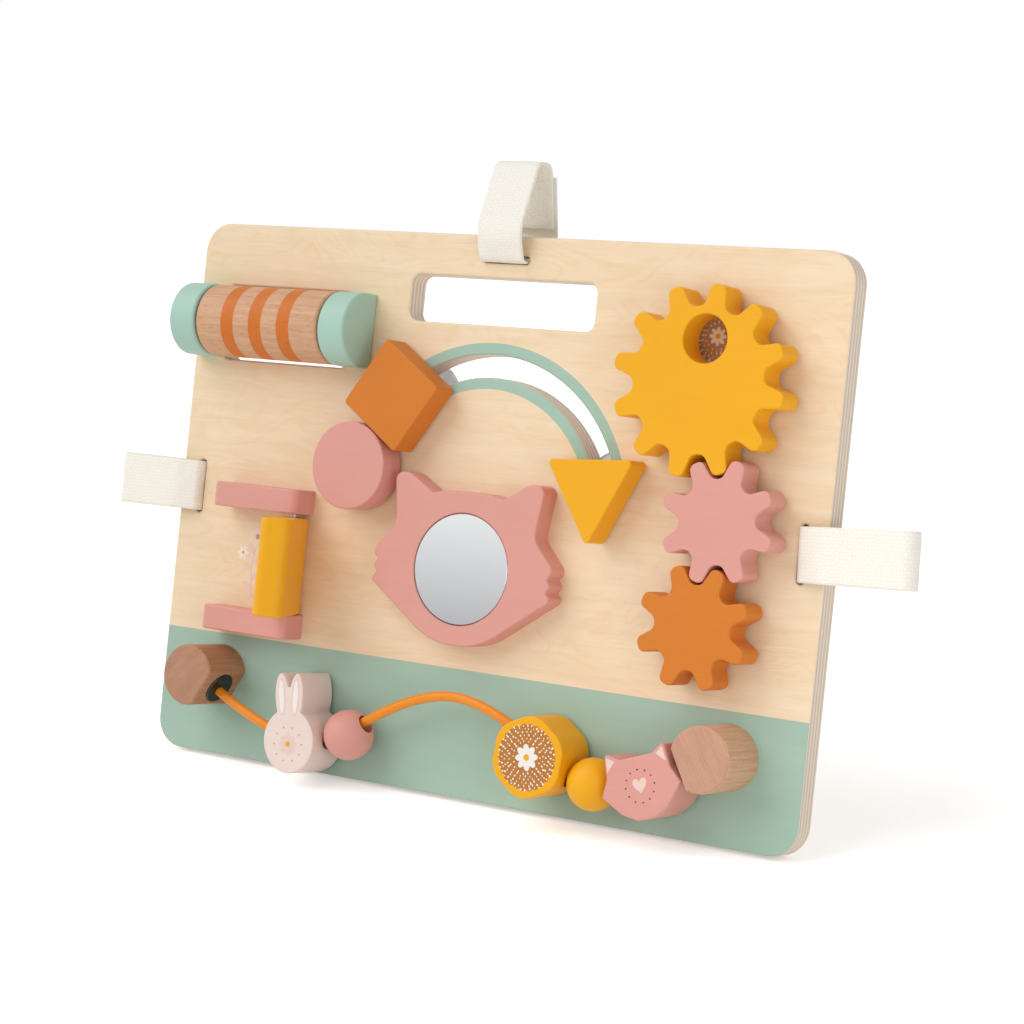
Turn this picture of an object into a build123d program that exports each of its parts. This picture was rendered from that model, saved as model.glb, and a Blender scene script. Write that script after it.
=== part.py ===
from build123d import *
from math import atan2, cos, degrees, hypot, radians, sin, tan
import os

os.makedirs("parts", exist_ok=True)

# Board (mm). X runs along its length, Z up from its bottom edge, and the play side faces -Y.
board_w = 375
board_h = 275
board_t = 13
board_corner = 15
board_edge_round = 1.2

# Openings in the board
handle_w = 107
handle_h = 23.2
handle_inset = 32.4    # from the board's top edge
handle_z = board_h - handle_inset
handle_corner = 5
window_w = 79.3
window_h = 38.4
window_corner = 4
strap_slot_l = 27.4
strap_slot_w = 4
strap_slot_corner = 1.9
top_slot_inset = 11.5
top_slot_z = board_h - top_slot_inset
side_slot_x = 175
side_slot_z = 137.4

# Clearances
run_gap = 0.1          # radial, on every shaft and bolt that turns
part_gap = 0.3         # between neighbouring moving and fixed faces
slide_gap = 0.3        # each side of a stud in the arch slot
corner_reach = 1       # how near a corner lies to the size that names it

# Screws that hold the wooden pieces from behind
screw_shank_d = 3.5
screw_head_d = 7.5
screw_head_h = (screw_head_d - screw_shank_d) / 2
screw_head_inset = 0.2
screw_bite = 8.0
screw_bore_d = screw_shank_d + 2 * run_gap

# Roller in its window
roller_x = -129.35
roller_z = 223.8
roller_depth = 8.5
roller_r = 18.4
roller_l = 77
roller_round = 1.8
roller_pin_d = 6
roller_pin_bite = 10
block_w = 16
block_r = 18.7
block_inner_gap = 79.4
block_edge_round = 1.5
block_screw_step = 10

# Arch slot and the three shapes that slide in it
arch_z = 139.3
arch_r = 72
arch_slot_w = 11
arch_start = 14
arch_end = 166.5
shape_t = 15
shape_gap = 1.5
shape_edge_round = 0.8
disc_angle = 166.5
disc_r = 21.8
square_angle = 132.2
square_side = 40
square_corner = 1.8
square_turn = -34.1
triangle_angle = 14.2
triangle_side = 47.5
triangle_corner = 2
triangle_turn = 273.8
stud_d = arch_slot_w - 2 * slide_gap
stud_bite = 6
back_disc_r = 20
back_disc_t = 4
back_disc_gap = 0.4
back_disc_round = 1
stud_screw_d = 4
stud_screw_bite = 11
stud_screw_head_d = 8
stud_screw_head_h = (stud_screw_head_d - stud_screw_d) / 2

# Gear train
gear_gap = 2.5
gear_t = 16
gear_edge_round = 0.8
large_x = 122.3
large_z = 211.2
large_teeth = 12
large_tip_r = 44.7
large_root_r = 34
large_tip_w = 7.2
large_base_w = 12.6
large_phase = 21.5
middle_x = 139.6
middle_z = 148
lower_x = 132.5
lower_z = 99.1
small_teeth = 8
small_tip_r = 29.1
small_root_r = 19.6
small_tip_w = 7.0
small_base_w = 10.8
middle_phase = 28.52
lower_phase = 22.46
tooth_tip_round = 3.2
tooth_root_round = 4
peep_d = 22.7
peep_dx = 1.8
peep_dz = 19.2
insert_d = 9
insert_l = 11
bolt_d = 6
bolt_head_d = 14
bolt_head_h = 2.5
bolt_hex = 5
bolt_hex_h = 1.5
bolt_recess_d = 15
bolt_recess_h = 3.2
washer_d = 20

# Mirror in its cat-head frame
frame_t = 12
frame_top = 148.3
frame_ear_inner = 20
frame_ear_top = 155.3
frame_ear_tip = 33.5
frame_ear_outer = 41
frame_temple_x = 39.5
frame_temple_z = 130
frame_cheek_x = 51.3
frame_cheek_top = 118
frame_cheek_low = 100
frame_chin_x = 11.5
frame_chin_z = 75.2
frame_ear_round = 4.8
frame_brow_round = 14
frame_temple_round = 7
frame_cheek_round = 3.5
frame_chin_round = 14
frame_edge_round = 1.5
whisker_notch_r = 1.8
whisker_mid_z = 108.6
whisker_step = 3.2
whisker_rim_round = 0.8
mirror_z = 111.7
mirror_d = 54.4
mirror_t = 2
mirror_recess_d = 54.8
mirror_recess_h = 2.5
frame_screw_ear_x = 30
frame_screw_ear_z = 146
frame_screw_chin_z = 79.3

# Flap door between two bars
bar_left = -154
bar_right = -100
bar_depth = 15.7
bar_h = 12.4
bar_top_z = 134.8
bar_low_z = 71.4
bar_corner = 4
bar_edge_round = 1
door_pin_x = -106.2
door_pin_depth = 8
door_pin_d = 4
door_pin_bite = 9
door_t = 15
door_l = 46
door_h = 48.7
door_rest = 0.5
door_open = 116
door_edge_round = 1.2
door_tip_round = 4.5

# Cord, its logs and ferrules
cord_d = 4.8
cord_depth = 14
cord_route = [
    (-144.1, 37.2),
    (-109.5, 19.4),
    (-69.5, 16.4),
    (-15.0, 49.8),
    (24.0, 50.9),
    (81.5, 18.2),
    (114.0, 25.2),
    (144.6, 36.8),
]
arc_share = 0.45
log_x = 148.6
log_z = 41.5
log_r = 15.4
log_l = 28.5
log_flat = 11.7
log_flat_tilt = 29.5
log_edge_round = 1.2
ferrule_d = 17
ferrule_t = 3
ferrule_proud = 1.0
ferrule_round = 0.8
ferrule_barrel_d = 10
ferrule_barrel_l = 8

# Beads on the cord
bead_t = 25
bead_bore_d = 9.4
bead_round = 0.9
bead_inner_round = 1.2
ball_r = 12.5
rabbit_x = -81.8
rabbit_z = 16.9
rabbit_tilt = 2.8
rabbit_turn = 6
rabbit_bore = 1.6
rabbit_head_rx = 15.4
rabbit_head_rz = 16
rabbit_ear_w = 8.4
rabbit_ear_l = 24
rabbit_ear_splay = 3.5
rabbit_ear_x = 4.3
rabbit_ear_z = 21.6
rabbit_ear_notch = 26.8
rabbit_web_w = 6
rabbit_round = 1
pink_ball_x = -54.1
pink_ball_z = 23.5
pink_ball_tilt = 28
pink_ball_bore = 1.5
flower_x = 57.4
flower_z = 29.2
flower_tilt = -29
flower_turn = -36
flower_bore = 1.5
flower_r = 21.4
flower_round = 12
yellow_ball_x = 87.4
yellow_ball_z = 20.5
yellow_ball_tilt = -1
yellow_ball_bore = 0
cat_x = 118.9
cat_z = 26
cat_tilt = 16.5
cat_turn = 19
cat_bore = 1.4
cat_brow_z = 12.8
cat_ear_in = 8.5
cat_ear_tip_x = 15.8
cat_ear_tip_z = 17
cat_ear_low_x = 17
cat_ear_low_z = 5
cat_cheek_x = 21
cat_cheek_z = -2.6
cat_jaw_x = 12.5
cat_jaw_z = -12
cat_chin_x = 5
cat_chin_z = -16
cat_ear_round = 1.3
cat_face_round = 2.5

# Webbing straps
strap_w = 25.5
strap_t = 1.6
patch_t = 1
patch_w = 23
slot_run = 9.5         # how far the strap stands out of the slot before it turns
slot_bend = 2.6
loop_bend = 5
top_reach = 48.9
top_front_out = 13.9
top_front_y = -15.2
top_fold_front = -3.6
top_fold_back = 7.5
top_tail_out = 18.9
top_tail_y = 14.5
side_reach = 54.2
side_front_out = 13.5
side_front_y = -12.3
side_fold_front = -8.4
side_fold_back = 2
side_tail_out = 22
side_tail_y = 12.8
right_strap_tilt = 2.8
right_strap_inset = 0.6
lap_start = 6          # from the fold's back corner to the closure


def front_plane(x, z, depth, turn=0):
    """Plane that faces the viewer, `depth` in front of the board's play side."""
    across = (cos(radians(turn)), 0, sin(radians(turn)))
    return Plane(origin=(x, -board_t / 2 - depth, z), x_dir=across, z_dir=(0, -1, 0))


def back_plane(x, z, inset=0):
    """Plane that faces away from the viewer, `inset` below the board's back face."""
    return Plane(origin=(x, board_t / 2 - inset, z), x_dir=(-1, 0, 0), z_dir=(0, 1, 0))


def on_arch(angle):
    """X and Z of a stud at `angle` round the arch, counterclockwise from +X."""
    return arch_r * cos(radians(angle)), arch_z + arch_r * sin(radians(angle))


def save(piece, name):
    piece.part.label = name
    export_step(piece.part, f"parts/{name}.step")


# Places used by more than one piece
block_x = (block_inner_gap + block_w) / 2
bar_screw_x = [bar_left + bar_h, door_pin_x - bar_h]
frame_screws = [
    (-frame_screw_ear_x, frame_screw_ear_z),
    (frame_screw_ear_x, frame_screw_ear_z),
    (0, frame_screw_chin_z),
]
block_screws = []
for side in (-1, 1):
    for step in (-block_screw_step, block_screw_step):
        block_screws.append((roller_x + side * block_x, roller_z + step))
bar_screws = []
for bar_z in (bar_low_z, bar_top_z):
    for screw_x in bar_screw_x:
        bar_screws.append((screw_x, bar_z))
log_screws = [(-log_x, log_z), (log_x, log_z)]
all_screws = frame_screws + block_screws + bar_screws + log_screws
gear_spots = [(large_x, large_z), (middle_x, middle_z), (lower_x, lower_z)]
bolt_bore_d = bolt_d + 2 * run_gap

# Board with its handle, roller window, arch slot, strap slots and fastener holes
with BuildPart() as board:
    with BuildSketch(front_plane(0, board_h / 2, -board_t)):
        RectangleRounded(board_w, board_h, board_corner)
    extrude(amount=board_t)
    with BuildSketch(front_plane(0, 0, 0)):
        with Locations((0, handle_z)):
            RectangleRounded(handle_w, handle_h, handle_corner)
        with Locations((roller_x, roller_z)):
            RectangleRounded(window_w, window_h, window_corner)
        with Locations((0, top_slot_z)):
            RectangleRounded(strap_slot_l, strap_slot_w, strap_slot_corner)
        with Locations((-side_slot_x, side_slot_z), (side_slot_x, side_slot_z)):
            RectangleRounded(strap_slot_w, strap_slot_l, strap_slot_corner)
        with BuildLine(mode=Mode.PRIVATE) as arch_line:
            CenterArc((0, arch_z), arch_r, arch_start, arch_end - arch_start)
        SlotArc(arch_line.edges()[0], arch_slot_w)
    extrude(amount=-board_t, mode=Mode.SUBTRACT)
    front_rim = board.faces().sort_by(Axis.Y)[0].edges()
    back_rim = board.faces().sort_by(Axis.Y)[-1].edges()
    fillet(front_rim + back_rim, board_edge_round)
    with Locations(*[back_plane(x, z) for x, z in all_screws]):
        CounterSinkHole(screw_bore_d / 2, screw_head_d / 2 + screw_head_inset, depth=board_t,
                        counter_sink_angle=90)
    with Locations(*[back_plane(x, z) for x, z in gear_spots]):
        CounterBoreHole(bolt_bore_d / 2, bolt_recess_d / 2, bolt_recess_h, depth=board_t)
save(board, "board")

# Thirteen countersunk screws, driven from behind
with BuildPart() as back_screws:
    with Locations(*[back_plane(x, z, screw_head_inset) for x, z in all_screws]):
        Cylinder(screw_shank_d / 2, board_t + screw_bite - screw_head_inset,
                 align=(Align.CENTER, Align.CENTER, Align.MAX))
        Cone(screw_shank_d / 2, screw_head_d / 2, screw_head_h, align=(Align.CENTER, Align.CENTER, Align.MAX))
save(back_screws, "back_screws")


def pilot_holes(spots):
    """Pins the size of the screws' bites, to cut from the back of a wooden piece."""
    with BuildPart() as pilots:
        with Locations(*[front_plane(x, z, 0) for x, z in spots]):
            Cylinder(screw_shank_d / 2, screw_bite, align=(Align.CENTER, Align.CENTER, Align.MIN))
    return pilots.part


def make_block(side):
    """D-shaped end block of the roller, with a blind bore for the pin."""
    x = roller_x + side * block_x
    inner_x = roller_x + side * block_inner_gap / 2
    pilots = pilot_holes([spot for spot in block_screws if abs(spot[0] - x) < block_w])
    with BuildPart() as block:
        with BuildSketch(front_plane(x, roller_z, 0)):
            Rectangle(block_w, 2 * block_r)
        extrude(amount=roller_depth)
        with BuildSketch(Plane.YZ.offset(x)):
            with Locations((-board_t / 2 - roller_depth, roller_z)):
                Circle(block_r)
        extrude(amount=block_w / 2, both=True)
        with BuildSketch(front_plane(x, roller_z, -board_t)):
            Rectangle(2 * block_w, 3 * block_r)
        extrude(amount=board_t, mode=Mode.SUBTRACT)
        ends = block.faces().filter_by(Axis.X)
        fillet(ends.sort_by(Axis.X)[0].edges() + ends.sort_by(Axis.X)[-1].edges(), block_edge_round)
        with BuildSketch(Plane.YZ.offset(inner_x)):
            with Locations((-board_t / 2 - roller_depth, roller_z)):
                Circle(roller_pin_d / 2)
        extrude(amount=side * roller_pin_bite, mode=Mode.SUBTRACT)
        add(pilots, mode=Mode.SUBTRACT)
    return block


save(make_block(-1), "roller_block_left")
save(make_block(1), "roller_block_right")

with BuildPart() as roller_pin:
    with BuildSketch(Plane.YZ.offset(roller_x)):
        with Locations((-board_t / 2 - roller_depth, roller_z)):
            Circle(roller_pin_d / 2)
    extrude(amount=block_inner_gap / 2 + roller_pin_bite, both=True)
save(roller_pin, "roller_pin")

with BuildPart() as roller:
    with BuildSketch(Plane.YZ.offset(roller_x)):
        with Locations((-board_t / 2 - roller_depth, roller_z)):
            Circle(roller_r)
    extrude(amount=roller_l / 2, both=True)
    fillet(roller.edges(), roller_round)
    with BuildSketch(Plane.YZ.offset(roller_x)):
        with Locations((-board_t / 2 - roller_depth, roller_z)):
            Circle(roller_pin_d / 2 + run_gap)
    extrude(amount=roller_l / 2, both=True, mode=Mode.SUBTRACT)
save(roller, "roller")


def make_gear(x, z, teeth, tip_r, root_r, tip_w, base_w, phase, peep=False):
    """Chunky rounded gear with a blind bore behind for its threaded insert."""
    inner_r = root_r * 0.9
    tooth = [(inner_r, -base_w / 2), (tip_r, -tip_w / 2), (tip_r, tip_w / 2), (inner_r, base_w / 2)]
    with BuildPart() as gear:
        with BuildSketch(front_plane(x, z, gear_gap)) as outline:
            Circle(root_r)
            with PolarLocations(0, teeth, start_angle=phase):
                Polygon(*tooth, align=None)
            fillet(outline.vertices().sort_by_distance((0, 0, 0))[-2 * teeth:], tooth_tip_round)
            fillet(outline.vertices().sort_by_distance((0, 0, 0))[:2 * teeth], tooth_root_round)
            if peep:
                with Locations((peep_dx, peep_dz)):
                    Circle(peep_d / 2, mode=Mode.SUBTRACT)
        extrude(amount=gear_t)
        front_edges = gear.faces().sort_by(Axis.Y)[0].edges()
        back_edges = gear.faces().sort_by(Axis.Y)[-1].edges()
        fillet(front_edges + back_edges, gear_edge_round)
        with BuildSketch(front_plane(x, z, gear_gap)):
            Circle(insert_d / 2)
        extrude(amount=insert_l, mode=Mode.SUBTRACT)
    return gear


def make_insert(x, z):
    """Threaded insert pressed into the back of a gear."""
    with BuildPart() as insert:
        with BuildSketch(front_plane(x, z, gear_gap)):
            Circle(insert_d / 2)
            Circle(bolt_d / 2, mode=Mode.SUBTRACT)
        extrude(amount=insert_l)
    return insert


def make_bolt(x, z):
    """Flat-head bolt from behind the board into the insert, with a hex socket."""
    head_y = bolt_recess_h - part_gap - bolt_head_h
    with BuildPart() as bolt:
        with BuildSketch(back_plane(x, z, head_y)):
            Circle(bolt_head_d / 2)
        extrude(amount=-bolt_head_h)
        with BuildSketch(back_plane(x, z, head_y + bolt_head_h)):
            Circle(bolt_d / 2)
        extrude(amount=-(board_t - head_y - bolt_head_h + gear_gap + insert_l))
        with BuildSketch(back_plane(x, z, head_y)):
            RegularPolygon(bolt_hex / 2, 6, major_radius=False)
        extrude(amount=-bolt_hex_h, mode=Mode.SUBTRACT)
    return bolt


save(make_gear(large_x, large_z, large_teeth, large_tip_r, large_root_r,
               large_tip_w, large_base_w, large_phase, peep=True), "gear_large")
save(make_gear(middle_x, middle_z, small_teeth, small_tip_r, small_root_r,
               small_tip_w, small_base_w, middle_phase), "gear_middle")
save(make_gear(lower_x, lower_z, small_teeth, small_tip_r, small_root_r,
               small_tip_w, small_base_w, lower_phase), "gear_lower")
for name, (spot_x, spot_z) in zip(("large", "middle", "lower"), gear_spots):
    save(make_insert(spot_x, spot_z), f"gear_{name}_insert")
    save(make_bolt(spot_x, spot_z), f"gear_{name}_bolt")

with BuildPart() as gear_washers:
    for spot_x, spot_z in gear_spots:
        with BuildSketch(front_plane(spot_x, spot_z, 0)):
            Circle(washer_d / 2)
            Circle(bolt_bore_d / 2, mode=Mode.SUBTRACT)
        extrude(amount=gear_gap - part_gap)
save(gear_washers, "gear_washers")

# Cat-head mirror frame: ears, whisker notches in the cheeks and a round mirror seat
frame_pilots = pilot_holes(frame_screws)
with BuildPart() as cat_frame:
    with BuildSketch(front_plane(0, 0, 0)) as head:
        with BuildLine():
            Polyline(
                (0, frame_top),
                (frame_ear_inner, frame_top),
                (frame_ear_tip, frame_ear_top),
                (frame_ear_outer, frame_ear_top),
                (frame_temple_x, frame_temple_z),
                (frame_cheek_x, frame_cheek_top),
                (frame_cheek_x, frame_cheek_low),
                (frame_chin_x, frame_chin_z),
                (0, frame_chin_z),
            )
            mirror(about=Plane.YZ)
        make_face()
        corners = [spot for spot in head.vertices() if abs(spot.X) > corner_reach]
        fillet([spot for spot in corners if spot.Y > frame_top + corner_reach], frame_ear_round)
        fillet([spot for spot in corners if abs(spot.Y - frame_top) < corner_reach], frame_brow_round)
        fillet([spot for spot in corners if abs(spot.Y - frame_temple_z) < corner_reach], frame_temple_round)
        fillet([spot for spot in corners if abs(abs(spot.X) - frame_cheek_x) < corner_reach],
               frame_cheek_round)
        fillet([spot for spot in corners if abs(spot.Y - frame_chin_z) < corner_reach], frame_chin_round)
        for side in (-1, 1):
            with Locations((side * frame_cheek_x, whisker_mid_z - whisker_step),
                           (side * frame_cheek_x, whisker_mid_z + whisker_step)):
                Circle(whisker_notch_r, mode=Mode.SUBTRACT)
        rims = [spot for spot in head.vertices()
                if abs(abs(spot.X) - frame_cheek_x) < corner_reach
                and spot.Y < frame_cheek_top - frame_cheek_round
                and spot.Y > frame_cheek_low + frame_cheek_round / 2 + corner_reach]
        fillet(rims, whisker_rim_round)
    extrude(amount=frame_t)
    fillet(cat_frame.faces().sort_by(Axis.Y)[0].edges(), frame_edge_round / 2)
    with BuildSketch(front_plane(0, mirror_z, frame_t)):
        Circle(mirror_recess_d / 2)
    extrude(amount=-mirror_recess_h, mode=Mode.SUBTRACT)
    add(frame_pilots, mode=Mode.SUBTRACT)
save(cat_frame, "cat_frame")

with BuildPart() as mirror_disc:
    with BuildSketch(front_plane(0, mirror_z, frame_t - mirror_recess_h)):
        Circle(mirror_d / 2)
    extrude(amount=mirror_t)
    chamfer(mirror_disc.faces().sort_by(Axis.Y)[0].edges(), mirror_t / 4)
save(mirror_disc, "mirror_disc")


def make_bar(z):
    """Bar above or below the flap, with a blind bore for the hinge pin."""
    inward = 1 if z < (bar_top_z + bar_low_z) / 2 else -1
    inner_z = z + inward * bar_h / 2
    pilots = pilot_holes([spot for spot in bar_screws if abs(spot[1] - z) < bar_h])
    with BuildPart() as bar:
        with BuildSketch(front_plane((bar_left + bar_right) / 2, z, 0)):
            Rectangle(bar_right - bar_left, bar_h)
        extrude(amount=bar_depth)
        uprights = bar.edges().filter_by(Axis.Z).group_by(Axis.Y)[0]
        fillet(uprights, bar_corner)
        fillet(bar.faces().filter_by(Axis.Z).edges().filter_by(Axis.Y, reverse=True), bar_edge_round)
        with BuildSketch(Plane.XY.offset(inner_z)):
            with Locations((door_pin_x, -board_t / 2 - door_pin_depth)):
                Circle(door_pin_d / 2)
        extrude(amount=-inward * door_pin_bite, mode=Mode.SUBTRACT)
        add(pilots, mode=Mode.SUBTRACT)
    return bar


save(make_bar(bar_top_z), "flap_bar_top")
save(make_bar(bar_low_z), "flap_bar_bottom")

pin_low = bar_low_z + bar_h / 2 - door_pin_bite
pin_high = bar_top_z - bar_h / 2 + door_pin_bite
with BuildPart() as flap_pin:
    with BuildSketch(Plane.XY.offset(pin_low)):
        with Locations((door_pin_x, -board_t / 2 - door_pin_depth)):
            Circle(door_pin_d / 2)
    extrude(amount=pin_high - pin_low)
save(flap_pin, "flap_pin")

# Flap door, standing open, with a round barrel about the pin
door_low_z = bar_low_z + bar_h / 2 + door_rest
with BuildPart() as flap_door:
    hinge = Plane(
        origin=(door_pin_x, -board_t / 2 - door_pin_depth, door_low_z),
        x_dir=(-cos(radians(door_open)), -sin(radians(door_open)), 0),
        z_dir=(0, 0, 1),
    )
    with BuildSketch(hinge):
        Circle(door_t / 2)
        with Locations((door_l / 2, 0)):
            Rectangle(door_l, door_t)
    extrude(amount=door_h)
    uprights = flap_door.edges().filter_by(Axis.Z).sort_by_distance((door_pin_x, 0, door_low_z + door_h / 2))
    fillet(uprights[-2:], door_tip_round)
    fillet(flap_door.faces().filter_by(Axis.Z).edges(), door_edge_round)
    with BuildSketch(hinge):
        Circle(door_pin_d / 2 + run_gap)
    extrude(amount=door_h, mode=Mode.SUBTRACT)
save(flap_door, "flap_door")


def make_stud(name, angle):
    """Sleeve through the arch slot, its back disc and the screw that joins them."""
    x, z = on_arch(angle)
    sleeve_l = stud_bite + shape_gap + board_t + back_disc_gap
    with BuildPart() as sleeve:
        with BuildSketch(front_plane(x, z, shape_gap + stud_bite)):
            Circle(stud_d / 2)
            Circle(stud_screw_d / 2, mode=Mode.SUBTRACT)
        extrude(amount=-sleeve_l)
    save(sleeve, f"{name}_sleeve")
    with BuildPart() as back_disc:
        with BuildSketch(back_plane(x, z, -back_disc_gap)):
            Circle(back_disc_r)
        extrude(amount=back_disc_t)
        fillet(back_disc.faces().sort_by(Axis.Y)[-1].edges(), back_disc_round)
        with Locations(back_plane(x, z, -back_disc_gap - back_disc_t)):
            CounterSinkHole(stud_screw_d / 2, stud_screw_head_d / 2 + screw_head_inset, depth=back_disc_t,
                            counter_sink_angle=90)
    save(back_disc, f"{name}_back_disc")
    with BuildPart() as screw:
        with Locations(back_plane(x, z, screw_head_inset - back_disc_gap - back_disc_t)):
            Cylinder(stud_screw_d / 2, sleeve_l + stud_screw_bite - stud_bite,
                     align=(Align.CENTER, Align.CENTER, Align.MAX))
            Cone(stud_screw_d / 2, stud_screw_head_d / 2, stud_screw_head_h,
                 align=(Align.CENTER, Align.CENTER, Align.MAX))
    save(screw, f"{name}_screw")
    return x, z


def stud_bore(x, z):
    """Stepped pin the size of the sleeve and its screw, to cut from behind a shape."""
    with BuildPart() as bore:
        with Locations(front_plane(x, z, shape_gap)):
            Cylinder(stud_d / 2, stud_bite, align=(Align.CENTER, Align.CENTER, Align.MIN))
            Cylinder(stud_screw_d / 2, stud_screw_bite, align=(Align.CENTER, Align.CENTER, Align.MIN))
    return bore.part


disc_x, disc_z = make_stud("disc", disc_angle)
square_x, square_z = make_stud("square", square_angle)
triangle_x, triangle_z = make_stud("triangle", triangle_angle)

with BuildPart() as disc_shape:
    with BuildSketch(front_plane(disc_x, disc_z, shape_gap)):
        Circle(disc_r)
    extrude(amount=shape_t)
    rims = disc_shape.faces().sort_by(Axis.Y)
    fillet(rims[0].edges() + rims[-1].edges(), shape_edge_round)
    add(stud_bore(disc_x, disc_z), mode=Mode.SUBTRACT)
save(disc_shape, "disc_shape")

with BuildPart() as square_shape:
    with BuildSketch(front_plane(square_x, square_z, shape_gap, square_turn)):
        RectangleRounded(square_side, square_side, square_corner)
    extrude(amount=shape_t)
    rims = square_shape.faces().sort_by(Axis.Y)
    fillet(rims[0].edges() + rims[-1].edges(), shape_edge_round)
    add(stud_bore(square_x, square_z), mode=Mode.SUBTRACT)
save(square_shape, "square_shape")

with BuildPart() as triangle_shape:
    with BuildSketch(front_plane(triangle_x, triangle_z, shape_gap, triangle_turn)) as outline:
        RegularPolygon(triangle_side / (2 * sin(radians(60))), 3)
        fillet(outline.vertices(), triangle_corner)
    extrude(amount=shape_t)
    rims = triangle_shape.faces().sort_by(Axis.Y)
    fillet(rims[0].edges() + rims[-1].edges(), shape_edge_round)
    add(stud_bore(triangle_x, triangle_z), mode=Mode.SUBTRACT)
save(triangle_shape, "triangle_shape")

# Cord: straight runs joined by arcs as large as the runs allow
cord_y = -board_t / 2 - cord_depth
cord_points = [(x, cord_y, z) for x, z in cord_route]
cord_bends = []
for before, corner, after in zip(cord_points, cord_points[1:], cord_points[2:]):
    run_in = Vector(*corner) - Vector(*before)
    run_out = Vector(*after) - Vector(*corner)
    shorter = min(run_in.length, run_out.length)
    cord_bends.append(arc_share * shorter / tan(radians(run_in.get_angle(run_out)) / 2))
print("cord radii", [round(bend, 1) for bend in cord_bends])

with BuildPart() as bead_cord:
    with BuildLine() as cord_line:
        FilletPolyline(*cord_points, radius=cord_bends)
    cord_path = cord_line.wires()[0]
    with BuildSketch(Plane(origin=cord_path @ 0, z_dir=cord_path % 0)):
        Circle(cord_d / 2)
    sweep()
print("cord length", round(cord_path.length, 2))
print("cord volume", round(bead_cord.part.volume, 1),
      "section times length", round(cord_path.length * Circle(cord_d / 2).area, 1))
save(bead_cord, "bead_cord")


def make_log(side):
    """Log and ferrule that hold one end of the cord."""
    name = "left" if side < 0 else "right"
    end = cord_points[0] if side < 0 else cord_points[-1]
    beside = cord_points[1] if side < 0 else cord_points[-2]
    along = Vector(*beside) - Vector(*end)
    facing = Vector(-side * cos(radians(log_flat_tilt)), 0, -sin(radians(log_flat_tilt)))
    middle = Vector(side * log_x, cord_y, log_z)
    flat = Plane(origin=middle + facing * log_flat, x_dir=(0, 1, 0), z_dir=facing)
    exit_plane = Plane(origin=end, z_dir=along.normalized())
    pilot = pilot_holes([(side * log_x, log_z)])
    with BuildPart() as log:
        with BuildSketch(front_plane(side * log_x, log_z, 0)):
            Circle(log_r)
        extrude(amount=log_l)
        with BuildSketch(flat):
            Rectangle(2 * log_l, 2 * log_r)
        extrude(amount=log_r, mode=Mode.SUBTRACT)
        fillet(log.faces().sort_by(Axis.Y)[0].edges(), log_edge_round)
        with BuildSketch(flat):
            Circle(ferrule_d / 2)
        extrude(amount=-ferrule_t, mode=Mode.SUBTRACT)
        with BuildSketch(flat):
            Circle(ferrule_barrel_d / 2)
        extrude(amount=-ferrule_barrel_l, mode=Mode.SUBTRACT)
        with BuildSketch(exit_plane):
            Circle(cord_d / 2)
        extrude(amount=log_r, mode=Mode.SUBTRACT)
        add(pilot, mode=Mode.SUBTRACT)
    save(log, f"log_{name}")
    with BuildPart() as ferrule:
        with BuildSketch(flat):
            Circle(ferrule_barrel_d / 2)
        extrude(amount=-ferrule_barrel_l)
        with BuildSketch(flat):
            Circle(ferrule_d / 2)
        extrude(amount=-ferrule_t)
        with BuildSketch(flat):
            Circle(ferrule_d / 2)
        extrude(amount=ferrule_proud)
        rim = ferrule.edges().filter_by(GeomType.CIRCLE).sort_by_distance(middle)[-1]
        fillet(rim, ferrule_round)
        with BuildSketch(exit_plane):
            Circle(cord_d / 2)
        extrude(amount=log_r, mode=Mode.SUBTRACT)
    save(ferrule, f"ferrule_{name}")


make_log(-1)
make_log(1)


def bead_bore(x, z, tilt, rise):
    """Pin along the cord, `rise` above the bead's middle, to cut the bead's bore."""
    across = Vector(cos(radians(tilt)), 0, sin(radians(tilt)))
    up = Vector(-sin(radians(tilt)), 0, cos(radians(tilt)))
    with BuildPart() as bore:
        with Locations(Plane(origin=Vector(x, cord_y, z) + up * rise, z_dir=across)):
            Cylinder(bead_bore_d / 2, 2 * bead_t)
    return bore.part


bead_back = cord_depth - bead_t / 2
with BuildPart() as rabbit_bead:
    with BuildSketch(front_plane(rabbit_x, rabbit_z, bead_back, rabbit_turn)) as outline:
        Ellipse(rabbit_head_rx, rabbit_head_rz)
        for side in (-1, 1):
            with Locations((side * rabbit_ear_x, rabbit_ear_z)):
                Ellipse(rabbit_ear_w / 2, rabbit_ear_l / 2, rotation=-side * rabbit_ear_splay)
        with Locations((0, rabbit_ear_notch)):
            Rectangle(rabbit_web_w, rabbit_ear_notch, align=(Align.CENTER, Align.MAX))
        roots = [spot for spot in outline.vertices() if rabbit_head_rz / 2 < spot.Y < rabbit_ear_z]
        fillet(roots, rabbit_round)
    extrude(amount=bead_t)
    rims = rabbit_bead.faces().sort_by(Axis.Y)
    fillet(rims[0].edges() + rims[-1].edges(), bead_round)
    add(bead_bore(rabbit_x, rabbit_z, rabbit_tilt, rabbit_bore), mode=Mode.SUBTRACT)
save(rabbit_bead, "rabbit_bead")

with BuildPart() as flower_bead:
    with BuildSketch(front_plane(flower_x, flower_z, bead_back, flower_turn)) as outline:
        RegularPolygon(flower_r, 6)
        fillet(outline.vertices(), flower_round)
    extrude(amount=bead_t)
    rims = flower_bead.faces().sort_by(Axis.Y)
    fillet(rims[0].edges() + rims[-1].edges(), bead_round)
    add(bead_bore(flower_x, flower_z, flower_tilt, flower_bore), mode=Mode.SUBTRACT)
save(flower_bead, "flower_bead")

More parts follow.
